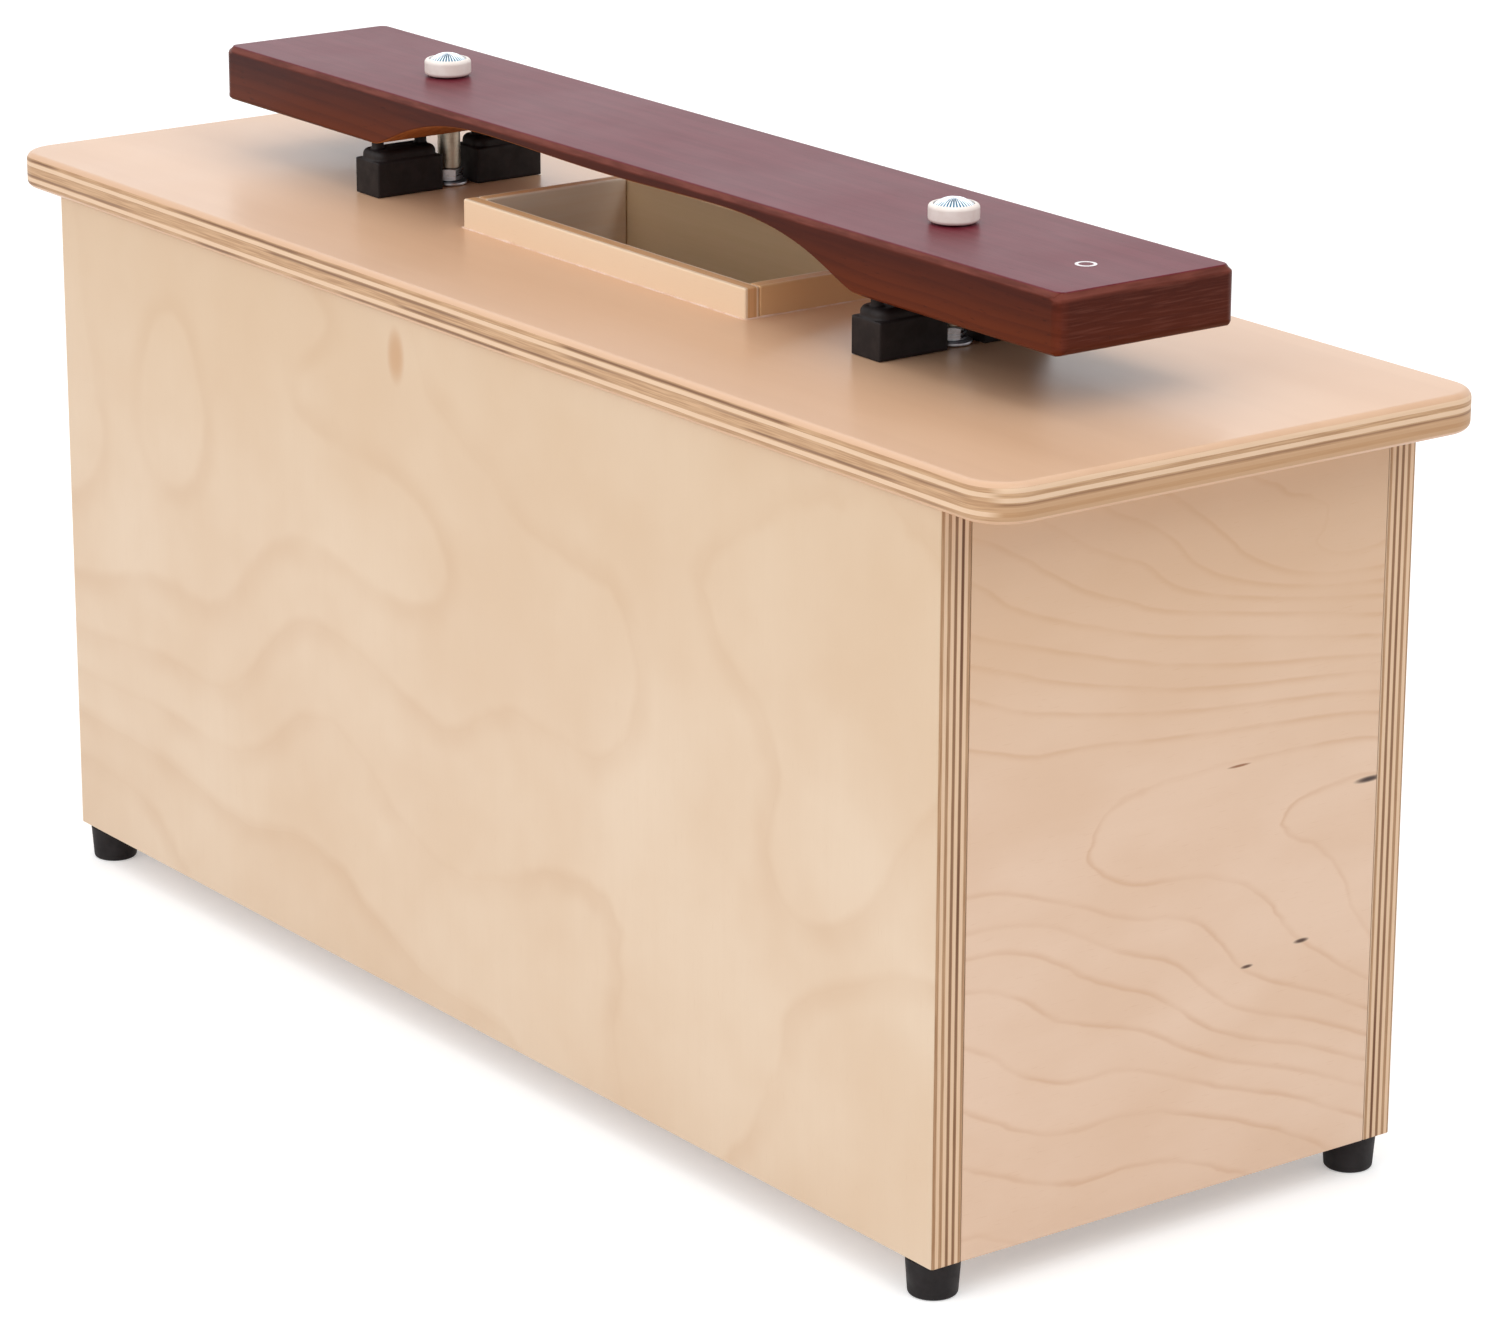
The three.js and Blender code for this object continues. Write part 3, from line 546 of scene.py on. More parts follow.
front_birch = birch("front_birch", "z", "x", ("y", front_low.y, 1.0), rings=FRONT_RINGS, hills=FRONT_HILLS,
                    marks=FRONT_MARKS, seed=3.1, **FRONT_LOOK)
back_birch = birch("back_birch", "z", "x", ("y", back_high.y, -1.0), seed=8.4, **FRONT_LOOK, **BACK_FIGURE)
right_birch = birch("right_end_birch", "y", "z", ("x", right_high.x, -1.0), rings=RIGHT_RINGS,
                    hills=RIGHT_HILLS, marks=RIGHT_MARKS, seed=1.7, **END_LOOK)
left_birch = birch("left_end_birch", "y", "z", ("x", left_low.x, 1.0), seed=5.2, **END_LOOK, **LEFT_FIGURE)
bottom_birch = birch("bottom_birch", "x", "y", ("z", bottom_low.z, 1.0), BOTTOM_PLY, QUIET_RINGS, END_TINTS,
                     seed=6.6)
plate_birch = birch("plate_birch", "x", "y", ("z", plate_high.z, -1.0), PLATE_PLY, PLATE_RINGS, PLATE_TINTS,
                    seed=2.3, sheen=(0.285, 0.335), pores=0.0, side_ply=PLATE_SIDE_PLY)
collar_birch = {}
for name, along, depth, seed, own_look in (
        ("front", "x", ("y", collar_front_low.y, 1.0), 4.5, {}),
        ("back", "x", ("y", collar_back_high.y, -1.0), 7.9, {}),
        # The left board's hidden face is painted lighter: painted light falling inside the collar.
        ("left", "y", ("x", collar_left_low.x, 1.0), 9.3, {"inside": (248, 231, 211)}),
        # The right board takes darker tints: painted shade.
        ("right", "y", ("x", collar_right_high.x, -1.0), 0.6, {"tints": COLLAR_RIGHT_SHADED_TINTS})):
    look = {**COLLAR_LOOK, **own_look}
    collar_birch[name] = birch(f"collar_{name}_birch", along, "z", depth, seed=seed, **look)
bar_hardwood = bar_wood()
block_rubber = rubber("block_rubber", (20, 12, 12), (33, 25, 25))
foot_rubber = rubber("foot_rubber", (18, 12, 13), (29, 22, 24))
zinc = plated("zinc_plate", (206, 208, 214), (176, 178, 184), 0.24, 0.40, 900.0)
sleeve_steel = plated("sleeve_steel", (206, 199, 184), (184, 177, 162), 0.42, 0.58, 1400.0)
white_plastic = mottled("cap_white_plastic", (250, 241, 234), (243, 231, 223), (210.0, 3.0, 0.5, 0.35, 0.7),
                        (0.004, 0.42, 0.58), grit=(1500.0, 0.08, 0.06 * MM))
bright_dome = dome_metal()
dried_glue = mottled("dried_glue", (238, 212, 196), (226, 188, 158), (180.0, 3.0, 0.5, 0.35, 0.7),
                     (0.004, 0.3, 0.5))
white_paint = mottled("white_paint", (242, 238, 240), (196, 168, 170), (900.0, 3.0, 0.5, 0.5, 0.75),
                      (0.003, 0.35, 0.55), 0.35)


# ---- Mesh helpers ----

def settle(piece):
    """Replaces a piece's mesh by what its modifiers make of it."""
    shaped = bpy.data.meshes.new_from_object(piece.evaluated_get(bpy.context.evaluated_depsgraph_get()))
    piece.modifiers.clear()
    old, piece.data = piece.data, shaped
    shaped.name = piece.name
    bpy.data.meshes.remove(old)
    return piece


def modify(piece, kind, **settings):
    modifier = piece.modifiers.new(kind.lower(), kind)
    for name, value in settings.items():
        setattr(modifier, name, value)


def smooth_faces(mesh):
    mesh.polygons.foreach_set("use_smooth", [True] * len(mesh.polygons))


def add_piece(name, bm, material, sharp=40.0):
    """Makes a piece of a bmesh, closed up, facing outwards and softly shaded over shallow edges."""
    bmesh.ops.remove_doubles(bm, verts=bm.verts, dist=NEAR)
    bmesh.ops.recalc_face_normals(bm, faces=bm.faces)
    mesh = bpy.data.meshes.new(name)
    bm.to_mesh(mesh)
    bm.free()
    mesh.materials.append(material)
    smooth_faces(mesh)
    mesh.set_sharp_from_angle(angle=math.radians(sharp))
    piece = bpy.data.objects.new(name, mesh)
    bpy.context.scene.collection.objects.link(piece)
    return piece


def flatten_faces(piece):
    """Keeps large faces looking flat beside their rounded edges."""
    modify(piece, "WEIGHTED_NORMAL", keep_sharp=True)
    return settle(piece)


def carve(piece, how, *tools):
    """Cuts other pieces out of a piece, or keeps only what it shares with them."""
    for tool in tools:
        modify(piece, "BOOLEAN", operation=how, solver="EXACT", object=tool)
    settle(piece)
    for tool in tools:
        bpy.data.objects.remove(tool)
    return piece


def move(piece, x, y, z):
    piece.data.transform(Matrix.Translation((x, y, z)))


def hand_over(piece, body, slot, *nodes):
    """The piece rides on a body and stands for these nodes; slot, its finish, is not used."""
    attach(piece, body)
    if nodes:
        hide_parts(*nodes)
    return piece


def girth(node):
    """Half the width of a round node and its height, in millimetres."""
    low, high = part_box(node)
    return (high.x - low.x) / 2 / MM, (high.z - low.z) / MM


def polar(radius, turn, height):
    """A point a part of a turn round +Z, with its radius and height in millimetres."""
    angle = 2 * math.pi * turn
    return (radius * math.cos(angle) * MM, radius * math.sin(angle) * MM, height * MM)


def filleted(corners, steps=4):
    """Points of an outline whose corners (u, v, radius) are rounded."""
    points = []
    for i, (u, v, radius) in enumerate(corners):
        if radius <= 0:
            points.append((u, v))
            continue
        here = Vector((u, v))
        before = (Vector(corners[i - 1][:2]) - here).normalized()
        after = (Vector(corners[(i + 1) % len(corners)][:2]) - here).normalized()
        half = before.angle(after) / 2
        middle = here + (before + after).normalized() * radius / math.sin(half)
        start = here + before * radius / math.tan(half) - middle
        end = here + after * radius / math.tan(half) - middle
        turn = start.angle_signed(end)
        points += [tuple(middle + Matrix.Rotation(-turn * k / steps, 2) @ start) for k in range(steps + 1)]
    return points


def join_rings(bm, lower, upper):
    """Faces between two rings of points, either of which may be a single point."""
    count = max(len(lower), len(upper))
    for k in range(count if count > 1 else 0):
        n = (k + 1) % count
        corners = []
        for ring, order in ((lower, (k, n)), (upper, (n, k))):
            corners += [ring[j] for j in order] if len(ring) > 1 else [ring[0]]
        bm.faces.new(corners)


def join_all(bm, rings):
    for lower, upper in zip(rings, rings[1:]):
        join_rings(bm, lower, upper)


def close_ends(bm, rings):
    bm.faces.new(rings[0][::-1])
    bm.faces.new(rings[-1])


def turned(corners, sides, steps=4):
    """A closed shape turned about +Z from an outline of (radius, height, corner radius), in millimetres."""
    bm = bmesh.new()
    rings = []
    for radius, height in filleted(corners, steps):
        count = 1 if radius < NEAR else sides
        rings.append([bm.verts.new(polar(radius, k / count, height)) for k in range(count)])
    join_all(bm, rings + rings[:1])
    return bm


def tube(inner, outer, low, high, inner_round=0, outer_round=0):
    """The outline of a tube, or of a rod where its inner radius is 0."""
    return [(inner, low, inner_round), (outer, low, outer_round), (outer, high, outer_round),
            (inner, high, inner_round)]


def eased_board(name, node, material, ease, outer_y=None, round_edge=0.0):
    """A board with eased edges; its two upright edges at outer_y may be rounder."""
    low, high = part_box(node)
    bm = bmesh.new()
    bmesh.ops.create_cube(bm, size=1.0)
    bmesh.ops.scale(bm, vec=high - low, verts=bm.verts)
    bmesh.ops.translate(bm, vec=(low + high) / 2, verts=bm.verts)

    def upright(edge):
        first, second = (vert.co for vert in edge.verts)
        return max(abs(first.y - outer_y), abs(second.y - outer_y), abs(first.x - second.x)) < NEAR

    if outer_y is not None:
        outer = [edge for edge in bm.edges if upright(edge)]
        bmesh.ops.bevel(bm, geom=outer, offset=round_edge, segments=6, profile=0.5, affect="EDGES")
    sharp = [edge for edge in bm.edges if edge.calc_face_angle(0.0) > math.radians(50)]
    bmesh.ops.bevel(bm, geom=sharp, offset=ease, segments=3, profile=0.5, affect="EDGES")
    return flatten_faces(add_piece(name, bm, material))


# ---- Geometry trees ----

def geometry_tree(name, inputs):
    """Starts a geometry tree; returns it with its graph, its inputs and its output socket."""
    tree = bpy.data.node_groups.new(name, "GeometryNodeTree")
    for label, kind in {"Geometry": "Geometry", **inputs, "Finish": "Material"}.items():
        tree.interface.new_socket(label, in_out="INPUT", socket_type="NodeSocket" + kind)
    tree.interface.new_socket("Geometry", in_out="OUTPUT", socket_type="NodeSocketGeometry")
    graph = Graph(tree)
    return tree, graph, graph.add("NodeGroupInput"), tree.nodes.new("NodeGroupOutput").inputs["Geometry"]


def realized(graph, shape):
    return graph.add("GeometryNodeRealizeInstances", {"Geometry": shape})["Geometry"]


def painted(graph, shape, finish):
    return graph.add("GeometryNodeSetMaterial", {"Geometry": shape, "Material": finish})["Geometry"]


def grow(piece, tree, values):
    """Runs a geometry tree on a piece and keeps the mesh that it makes."""
    modifier = piece.modifiers.new(tree.name, "NODES")
    modifier.node_group = tree
    for item in tree.interface.items_tree:
        if item.in_out == "INPUT" and item.name in values:
            modifier[item.identifier] = values[item.name]
    return settle(piece)


def make_rows():
    """Copies one piece into rows along X and Y, centred on the middle of the part."""
    inputs = {"Count X": "Int", "Spacing X": "Float", "Count Y": "Int", "Spacing Y": "Float"}
    tree, graph, given, out = geometry_tree("rows_of_pieces", inputs)
    shape = given["Geometry"]
    for axis in ("X", "Y"):
        count, spacing = given["Count " + axis], given["Spacing " + axis]
        start = (count - 1.0) * spacing * -0.5
        first, offset = (graph.combine(*(value if a == axis else 0.0 for a in "XYZ"))
                         for value in (start, spacing))
        line = graph.add("GeometryNodeMeshLine", {"Count": count, "Start Location": first, "Offset": offset},
                         mode="OFFSET")
        copies = graph.add("GeometryNodeInstanceOnPoints", {"Points": line["Mesh"], "Instance": shape})
        shape = realized(graph, copies["Instances"])
    graph.feed(out, painted(graph, shape, given["Finish"]))
    return tree


def make_bead():
    """A bead of glue that runs round a rectangle and swells and thins along its way."""
    inputs = {"Length": "Float", "Width": "Float", "Thickness": "Float", "Swell": "Float"}
    tree, graph, given, out = geometry_tree("glue_bead", inputs)
    sizes = {"Width": given["Length"], "Height": given["Width"]}
    path = graph.add("GeometryNodeCurvePrimitiveQuadrilateral", sizes, mode="RECTANGLE")["Curve"]
    path = graph.add("GeometryNodeResampleCurve", {"Curve": path, "Count": 420})["Curve"]
    spot = graph.add("GeometryNodeInputPosition")["Position"]
    swell = (graph.noise(spot, 90.0, 3.0) - 0.5) * given["Swell"]
    radius = given["Thickness"] * (1.0 + swell)
    section = graph.add("GeometryNodeCurvePrimitiveCircle", {"Resolution": 10, "Radius": 1.0})["Curve"]
    sweep = graph.add("GeometryNodeCurveToMesh", {"Curve": path, "Profile Curve": section, "Scale": radius})
    bead = graph.add("GeometryNodeSetShadeSmooth", {"Geometry": sweep["Mesh"]})["Geometry"]
    graph.feed(out, painted(graph, realized(graph, bead), given["Finish"]))
    return tree


ROWS = make_rows()
BEAD = make_bead()


def rows(piece, count_x, spacing_x, count_y=1, spacing_y=0.0):
    return grow(piece, ROWS, {"Count X": count_x, "Spacing X": spacing_x * MM, "Count Y": count_y,
                              "Spacing Y": spacing_y * MM, "Finish": piece.data.materials[0]})


# ---- Sound box ----

PANEL_EDGE = 1.2 * MM
FINE_EASE = 0.4 * MM

for name, finish, *outer_edge in (("front", front_birch, front_low.y, PANEL_EDGE),
                                  ("back", back_birch, back_high.y, PANEL_EDGE),
                                  ("left_end", left_birch), ("right_end", right_birch),
                                  ("bottom", bottom_birch)):
    node = name + "_panel"
    hand_over(eased_board(name + "_board", node, finish, FINE_EASE, *outer_edge), "box", "birch_ply", node)


# ---- Top plate ----

PLATE_CORNER = 15.3 * MM
PLATE_EDGE = 3 * MM
PLATE_GAP = 0.2 * MM
CORNER_STEPS = 14
EDGE_STEPS = 7
EDGE_ANGLES = [math.pi / 2 * k / EDGE_STEPS for k in range(EDGE_STEPS + 1)]


def rounded_loop(bm, low, high, radius, inset, z):
    """A ring of points round a rectangle with round corners, drawn in by inset."""
    points = []
    reach = radius - inset
    for quarter, (x, y) in enumerate(((high.x, high.y), (low.x, high.y), (low.x, low.y), (high.x, low.y))):
        centre = Vector((x - math.copysign(radius, x), y - math.copysign(radius, y)))
        for k in range(CORNER_STEPS + 1):
            angle = math.pi / 2 * (quarter + k / CORNER_STEPS)
            points.append(bm.verts.new((centre.x + reach * math.cos(angle),
                                        centre.y + reach * math.sin(angle), z)))
    return points


def loop_edges(bm, ring):
    return [bm.edges.get((a, b)) or bm.edges.new((a, b)) for a, b in zip(ring, ring[1:] + ring[:1])]


def make_plate():
    bm = bmesh.new()
    curve = [(PLATE_EDGE * (1 - math.sin(a)), PLATE_EDGE * (1 - math.cos(a))) for a in EDGE_ANGLES]
    levels = [(inset, plate_low.z + rise) for inset, rise in curve]
    levels += [(inset, plate_high.z - rise) for inset, rise in reversed(curve)]
    rings = [rounded_loop(bm, plate_low, plate_high, PLATE_CORNER, inset, z) for inset, z in levels]
    join_all(bm, rings)
    left, right = collar_left_low.x - PLATE_GAP, collar_right_high.x + PLATE_GAP
    front, back = collar_front_low.y - PLATE_GAP, collar_back_high.y + PLATE_GAP
    opening = ((left, front), (right, front), (right, back), (left, back))
    walls = [[bm.verts.new((x, y, z)) for x, y in opening] for z in (plate_low.z, plate_high.z)]
    join_rings(bm, *walls)
    for rim, wall in ((rings[0], walls[0]), (rings[-1], walls[1])):
        bmesh.ops.triangle_fill(bm, use_beauty=True, edges=loop_edges(bm, rim) + loop_edges(bm, wall))
    return flatten_faces(add_piece("top_board", bm, plate_birch))


hand_over(make_plate(), "box", "birch_ply", "top_plate")


# ---- Collar round the opening ----

COLLAR_EASE = 0.7 * MM
BEAD_ROOM = 0.5 * MM
for name, finish in collar_birch.items():
    node = "collar_" + name
    hand_over(eased_board(node + "_board", node, finish, COLLAR_EASE), "box", "birch_ply", node)

bead = add_piece("glue_bead", bmesh.new(), dried_glue)
grow(bead, BEAD, {"Length": collar_right_high.x - collar_left_low.x + BEAD_ROOM,
                  "Width": collar_back_high.y - collar_front_low.y + BEAD_ROOM,
                  "Thickness": 0.4 * MM, "Swell": 2.4, "Finish": dried_glue})
move(bead, 0, 0, plate_high.z)
hand_over(bead, "box", "birch_ply")


# ---- Tone bar, in millimetres ----

BAR_CHAMFER = 1.9
BAR_END_ROUND = 4.5
BAR_TOP_TURN = 2.6
BAR_LOWER_EDGE = 1.1
BAR_LOWER_CORNER = 3.2
CHAMFER_CORNER = 0.5
CORNER_POINTS = 5
CORNER_WEAR_HIGHLIGHT = 0.35
ARCH_EDGE = 0.5
ARCH_FOOT = 150.3
ARCH_CROWN = 72.3
ARCH_CROWN_HEIGHT = 16.3
ARCH_MIDDLE_HEIGHT = 15.3
ARCH_FOOT_PULL = 14
ARCH_CROWN_PULL = 52
ARCH_MIDDLE_PULL = 30
ARCH_STEPS = 26
POST_SPACING = 306.0
BAR_HOLE_RADIUS = 5.1
DRILL_PAST = 2
MARK_PLACE = (225.5, -3.1)
MARK_SHAPE = (2.5, 3.7, 0.02, 0.1)
# A chamfer whose two ends are softened and a round: how far in and how far back, as parts of their size,
# and how much the edge is painted lighter there, partly wear and partly a painted highlight.
CHAMFER_SHAPE = ((1.3, 0.0), (1.08, 0.03), (0.9, 0.12), (0.12, 0.9), (0.03, 1.08), (0.0, 1.3))
ROUND_SHAPE = tuple((1 - math.sin(math.pi / 10 * k), 1 - math.cos(math.pi / 10 * k))
                    for k in range(len(CHAMFER_SHAPE)))
WEAR_HIGHLIGHT = (0.0, 0.5, 1.0, 1.0, 0.5, 0.0)


def bezier(a, b, c, d, steps):
    for k in range(steps):
        t = k / steps
        s = 1 - t
        weights = (s ** 3, 3 * s * s * t, 3 * s * t * t, t ** 3)
        yield tuple(sum(w * p for w, p in zip(weights, parts)) for parts in zip(a, b, c, d))


def arch_outline():
    """The arch from its left foot to its right, above the bar's underside."""
    foot, crown, peak, middle = ARCH_FOOT, ARCH_CROWN, ARCH_CROWN_HEIGHT, ARCH_MIDDLE_HEIGHT
    half = list(bezier((-foot, 0), (ARCH_FOOT_PULL - foot, 0), (-crown - ARCH_CROWN_PULL, peak),
                       (-crown, peak), ARCH_STEPS))
    half += list(bezier((-crown, peak), (ARCH_MIDDLE_PULL - crown, peak), (-ARCH_MIDDLE_PULL, middle),
                        (0, middle), ARCH_STEPS))
    return half + [(0.0, middle)] + [(-x, z) for x, z in reversed(half)]


def bar_section(k):
    """The bar's front outline at step k of its edges, where step 0 lies on the face.

    Gives points across and up, how far behind the face they lie, how much the point is painted lighter,
    partly wear and partly a painted highlight, and whether it is on the arch.
    """
    (inset, depth), (end_inset, end_depth) = CHAMFER_SHAPE[k], ROUND_SHAPE[k]
    half = (bar_high.x - bar_low.x) / 2 / MM
    top = (bar_high.z - bar_low.z) / MM
    drawn = inset * BAR_CHAMFER
    low = inset * BAR_LOWER_EDGE
    side = half - end_inset * BAR_END_ROUND
    shoulder = top - BAR_CHAMFER - drawn * (math.sqrt(2) - 1)
    inner = side - BAR_CHAMFER
    right = [(side, low, max(0.2, BAR_LOWER_CORNER - drawn)), (side, shoulder - 1.5, 0),
             (side, shoulder, CHAMFER_CORNER), (inner, top - drawn, CHAMFER_CORNER)]
    whole = right + [(-u, v, r) for u, v, r in reversed(right)]
    outline = filleted(whole, CORNER_POINTS - 1)[:3 * CORNER_POINTS + 1]
    outline += [(inner - part * BAR_TOP_TURN, top - drawn) for part in (0.2, 0.4, 0.7, 1.0)]
    edge, off_face = WEAR_HIGHLIGHT[k], min(1.0, k)
    points = []
    for i, (u, v) in enumerate(outline):
        if i < CORNER_POINTS:
            share = i / (CORNER_POINTS - 1)
            behind = (1 - share) * depth * BAR_LOWER_EDGE + share * end_depth * BAR_END_ROUND
            edge_wear_highlight = CORNER_WEAR_HIGHLIGHT * edge * share
        elif i <= 2 * CORNER_POINTS:
            behind = end_depth * BAR_END_ROUND
            edge_wear_highlight = CORNER_WEAR_HIGHLIGHT * edge if i == CORNER_POINTS else off_face
        else:
            gone = min(1.0, max(0.0, inner - u) / BAR_TOP_TURN)
            turn = BAR_TOP_TURN * (1 - math.sqrt(1 - (1 - gone) ** 2)) * end_depth
            behind = depth * BAR_CHAMFER + turn
            edge_wear_highlight = max(edge, off_face * (1 - 4 * gone))
        points.append((u, v, behind, edge_wear_highlight, False))
    points += [(-u, *rest) for u, *rest in reversed(points)]
    beside = ARCH_FOOT + 0.3
    foot = (low, depth * BAR_LOWER_EDGE, 0.0, False)
    points.append((-beside, *foot))
    arch = arch_outline()
    for i, (u, v) in enumerate(arch):
        along = Vector(arch[min(i + 1, len(arch) - 1)]) - Vector(arch[max(i - 1, 0)])
        size = max(ARCH_EDGE, BAR_LOWER_EDGE - v)
        spot = Vector((u, v)) + Vector((-along.y, along.x)).normalized() * inset * size
        points.append((spot.x, spot.y, depth * size, 0.0, depth > 0.5))
    points.append((beside, *foot))
    return points


def make_bar():
    bm = bmesh.new()
    rings = []
    tuned = bm.verts.layers.float.new("tuned")
    # Per vertex, how much the finish paints an edge lighter: partly wear and partly a painted highlight.
    wear_highlight = bm.verts.layers.float.new("wear_highlight")
    steps = range(len(CHAMFER_SHAPE))
    for face, back, order in ((bar_low.y, 1, steps), (bar_high.y, -1, reversed(steps))):
        for k in order:
            ring = []
            for u, v, behind, edge_wear_highlight, on_arch in bar_section(k):
                vert = bm.verts.new((u * MM, face + back * behind * MM, bar_low.z + v * MM))
                vert[wear_highlight] = edge_wear_highlight
                vert[tuned] = float(on_arch)
                ring.append(vert)
            rings.append(ring)
    join_all(bm, rings)
    close_ends(bm, rings)
    bar = add_piece("bar", bm, bar_hardwood, 60.0)
    depth = (bar_high.z - bar_low.z) / MM
    drills = []
    for side, x in zip(SIDES, (-POST_SPACING / 2, POST_SPACING / 2)):
        hole = turned(tube(0, BAR_HOLE_RADIUS, -DRILL_PAST, depth + DRILL_PAST), 48)
        drill = add_piece("hole_" + side, hole, bar_hardwood)
        move(drill, x * MM, 0, bar_low.z)
        drills.append(drill)
    return flatten_faces(carve(bar, "DIFFERENCE", *drills))


hand_over(make_bar(), "bar", "bar_wood", "tone_bar")

mark = add_piece("ring_mark", turned(tube(*MARK_SHAPE), 48), white_paint)
move(mark, MARK_PLACE[0] * MM, MARK_PLACE[1] * MM, bar_high.z)
hand_over(mark, "bar", "bar_wood")


# ---- Posts, in millimetres ----

POST_BORE = 2.8
NUT_TURN = math.radians(54)
NUT_BEVEL = 0.62
NUT_BORE = 2.75
NUT_MOUTH = 3.2
NUT_MOUTH_DEPTH = 0.45
THREAD_PITCH = 0.8
THREAD_DEPTH = 0.42
THREAD_ROWS = 3
RUNOUT_ROWS = 4
RUNOUT_DEPTH = 0.25
STUD_SIDES = 20
STUD_TIP = 0.6


def make_tube(name, node, material, *rounds):
    """A washer or a sleeve, with the rounds of its inner and outer edges."""
    outer, tall = girth(node)
    return flatten_faces(add_piece(name, turned(tube(POST_BORE, outer, 0, tall, *rounds), 64), material))


def make_nut():
    """A hexagon nut: a prism cut to a barrel with bevelled ends, and its plain bore with chamfered mouths."""
    flat, tall = girth("left_upper_nut")
    corner = flat / math.cos(math.pi / 6)
    prism = turned(tube(0, corner, 0, tall), 6)
    bmesh.ops.rotate(prism, matrix=Matrix.Rotation(NUT_TURN, 3, "Z"), verts=prism.verts)
    nut = add_piece("nuts", prism, zinc)
    end, belly = flat - 0.15, corner + 0.1
    barrel = turned([(0, 0, 0), (end, 0, 0), (belly, NUT_BEVEL, 0), (belly, tall - NUT_BEVEL, 0),
                     (end, tall, 0), (0, tall, 0)], 96)
    bore = turned([(0, -1, 0), (NUT_MOUTH, -1, 0), (NUT_MOUTH, 0, 0), (NUT_BORE, NUT_MOUTH_DEPTH, 0),
                   (NUT_BORE, tall - NUT_MOUTH_DEPTH, 0), (NUT_MOUTH, tall, 0), (NUT_MOUTH, tall + 1, 0),
                   (0, tall + 1, 0)], 48)
    carve(nut, "INTERSECT", add_piece("nut_barrel", barrel, zinc))
    carve(nut, "DIFFERENCE", add_piece("nut_bore", bore, zinc))
    modify(nut, "BEVEL", width=0.08 * MM, segments=2, angle_limit=math.radians(35))
    return flatten_faces(settle(nut))


def make_stud():
    """A stud with a running thread, built as one winding of points round its core."""
    outer, tall = girth("left_stud")
    core = outer - THREAD_DEPTH
    step = THREAD_PITCH / THREAD_ROWS
    levels = int((tall - 2 * THREAD_PITCH) / step)
    turns = [j / STUD_SIDES for j in range(STUD_SIDES)]
    tip = [core - STUD_TIP] * STUD_SIDES
    winding = []
    for k in range(levels + 1):
        ends = min(1.0, k / RUNOUT_ROWS, (levels - k) / RUNOUT_ROWS)
        crests = [1 - abs(2 * ((k / THREAD_ROWS + turn) % 1.0) - 1) for turn in turns]
        radii = [core - RUNOUT_DEPTH * (1 - ends) + THREAD_DEPTH * crest * ends for crest in crests]
        winding.append((radii, THREAD_PITCH + k * step))
    bm = bmesh.new()
    rings = []
    for radii, z in (([0.0], 0.0), (tip, 0.0), *winding, (tip, tall), ([0.0], tall)):
        rings.append([bm.verts.new(polar(radius, turn, z)) for radius, turn in zip(radii, turns)])
    join_all(bm, rings)
    return add_piece("studs", bm, zinc, 50.0)


def place_pair(piece, kind, slot):
    """Sets a turned piece at the height of its node and repeats it at both posts."""
    nodes = [f"{side}_{kind}" for side in SIDES]
    move(piece, 0, 0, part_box(nodes[0])[0].z)
    rows(piece, 2, POST_SPACING)
    hand_over(piece, "box", slot, *nodes)


place_pair(make_tube("washers", "left_upper_washer", zinc, 0.15, 0.35), "upper_washer", "zinc_steel")
place_pair(make_nut(), "upper_nut", "zinc_steel")
place_pair(make_tube("sleeves", "left_sleeve", sleeve_steel, 0.2, 0.3), "sleeve", "sleeve_metal")
place_pair(make_stud(), "stud", "zinc_steel")


# ---- Retaining caps, in millimetres ----

CAP_RECESS = 7.05
CAP_RECESS_DEPTH = 2
DOME_RIM = 1.3
DOME_PLAIN_RADIUS = 0.8
DOME_FADE = 1.4
DOME_FLUTES = 32
FLUTE_DEPTH = 0.45
DOME_SEGMENTS = 8
DOME_RINGS = 18


def centre_on(bm, node):
    low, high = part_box(node)
    bmesh.ops.translate(bm, vec=((low.x + high.x) / 2, 0, low.z), verts=bm.verts)


def make_cap_ring(side):
    node = side + "_cap_ring"
    outer, tall = girth(node)
    floor = tall - CAP_RECESS_DEPTH
    bm = turned([(POST_BORE, 0, 0.1), (outer, 0, 1.4), (outer, tall, 1.5), (CAP_RECESS, tall, 0.15),
                 (CAP_RECESS, floor, 0.1), (POST_BORE, floor, 0.1)], 72, 6)
    centre_on(bm, node)
    return flatten_faces(add_piece(side + "_cap_collar", bm, white_plastic))


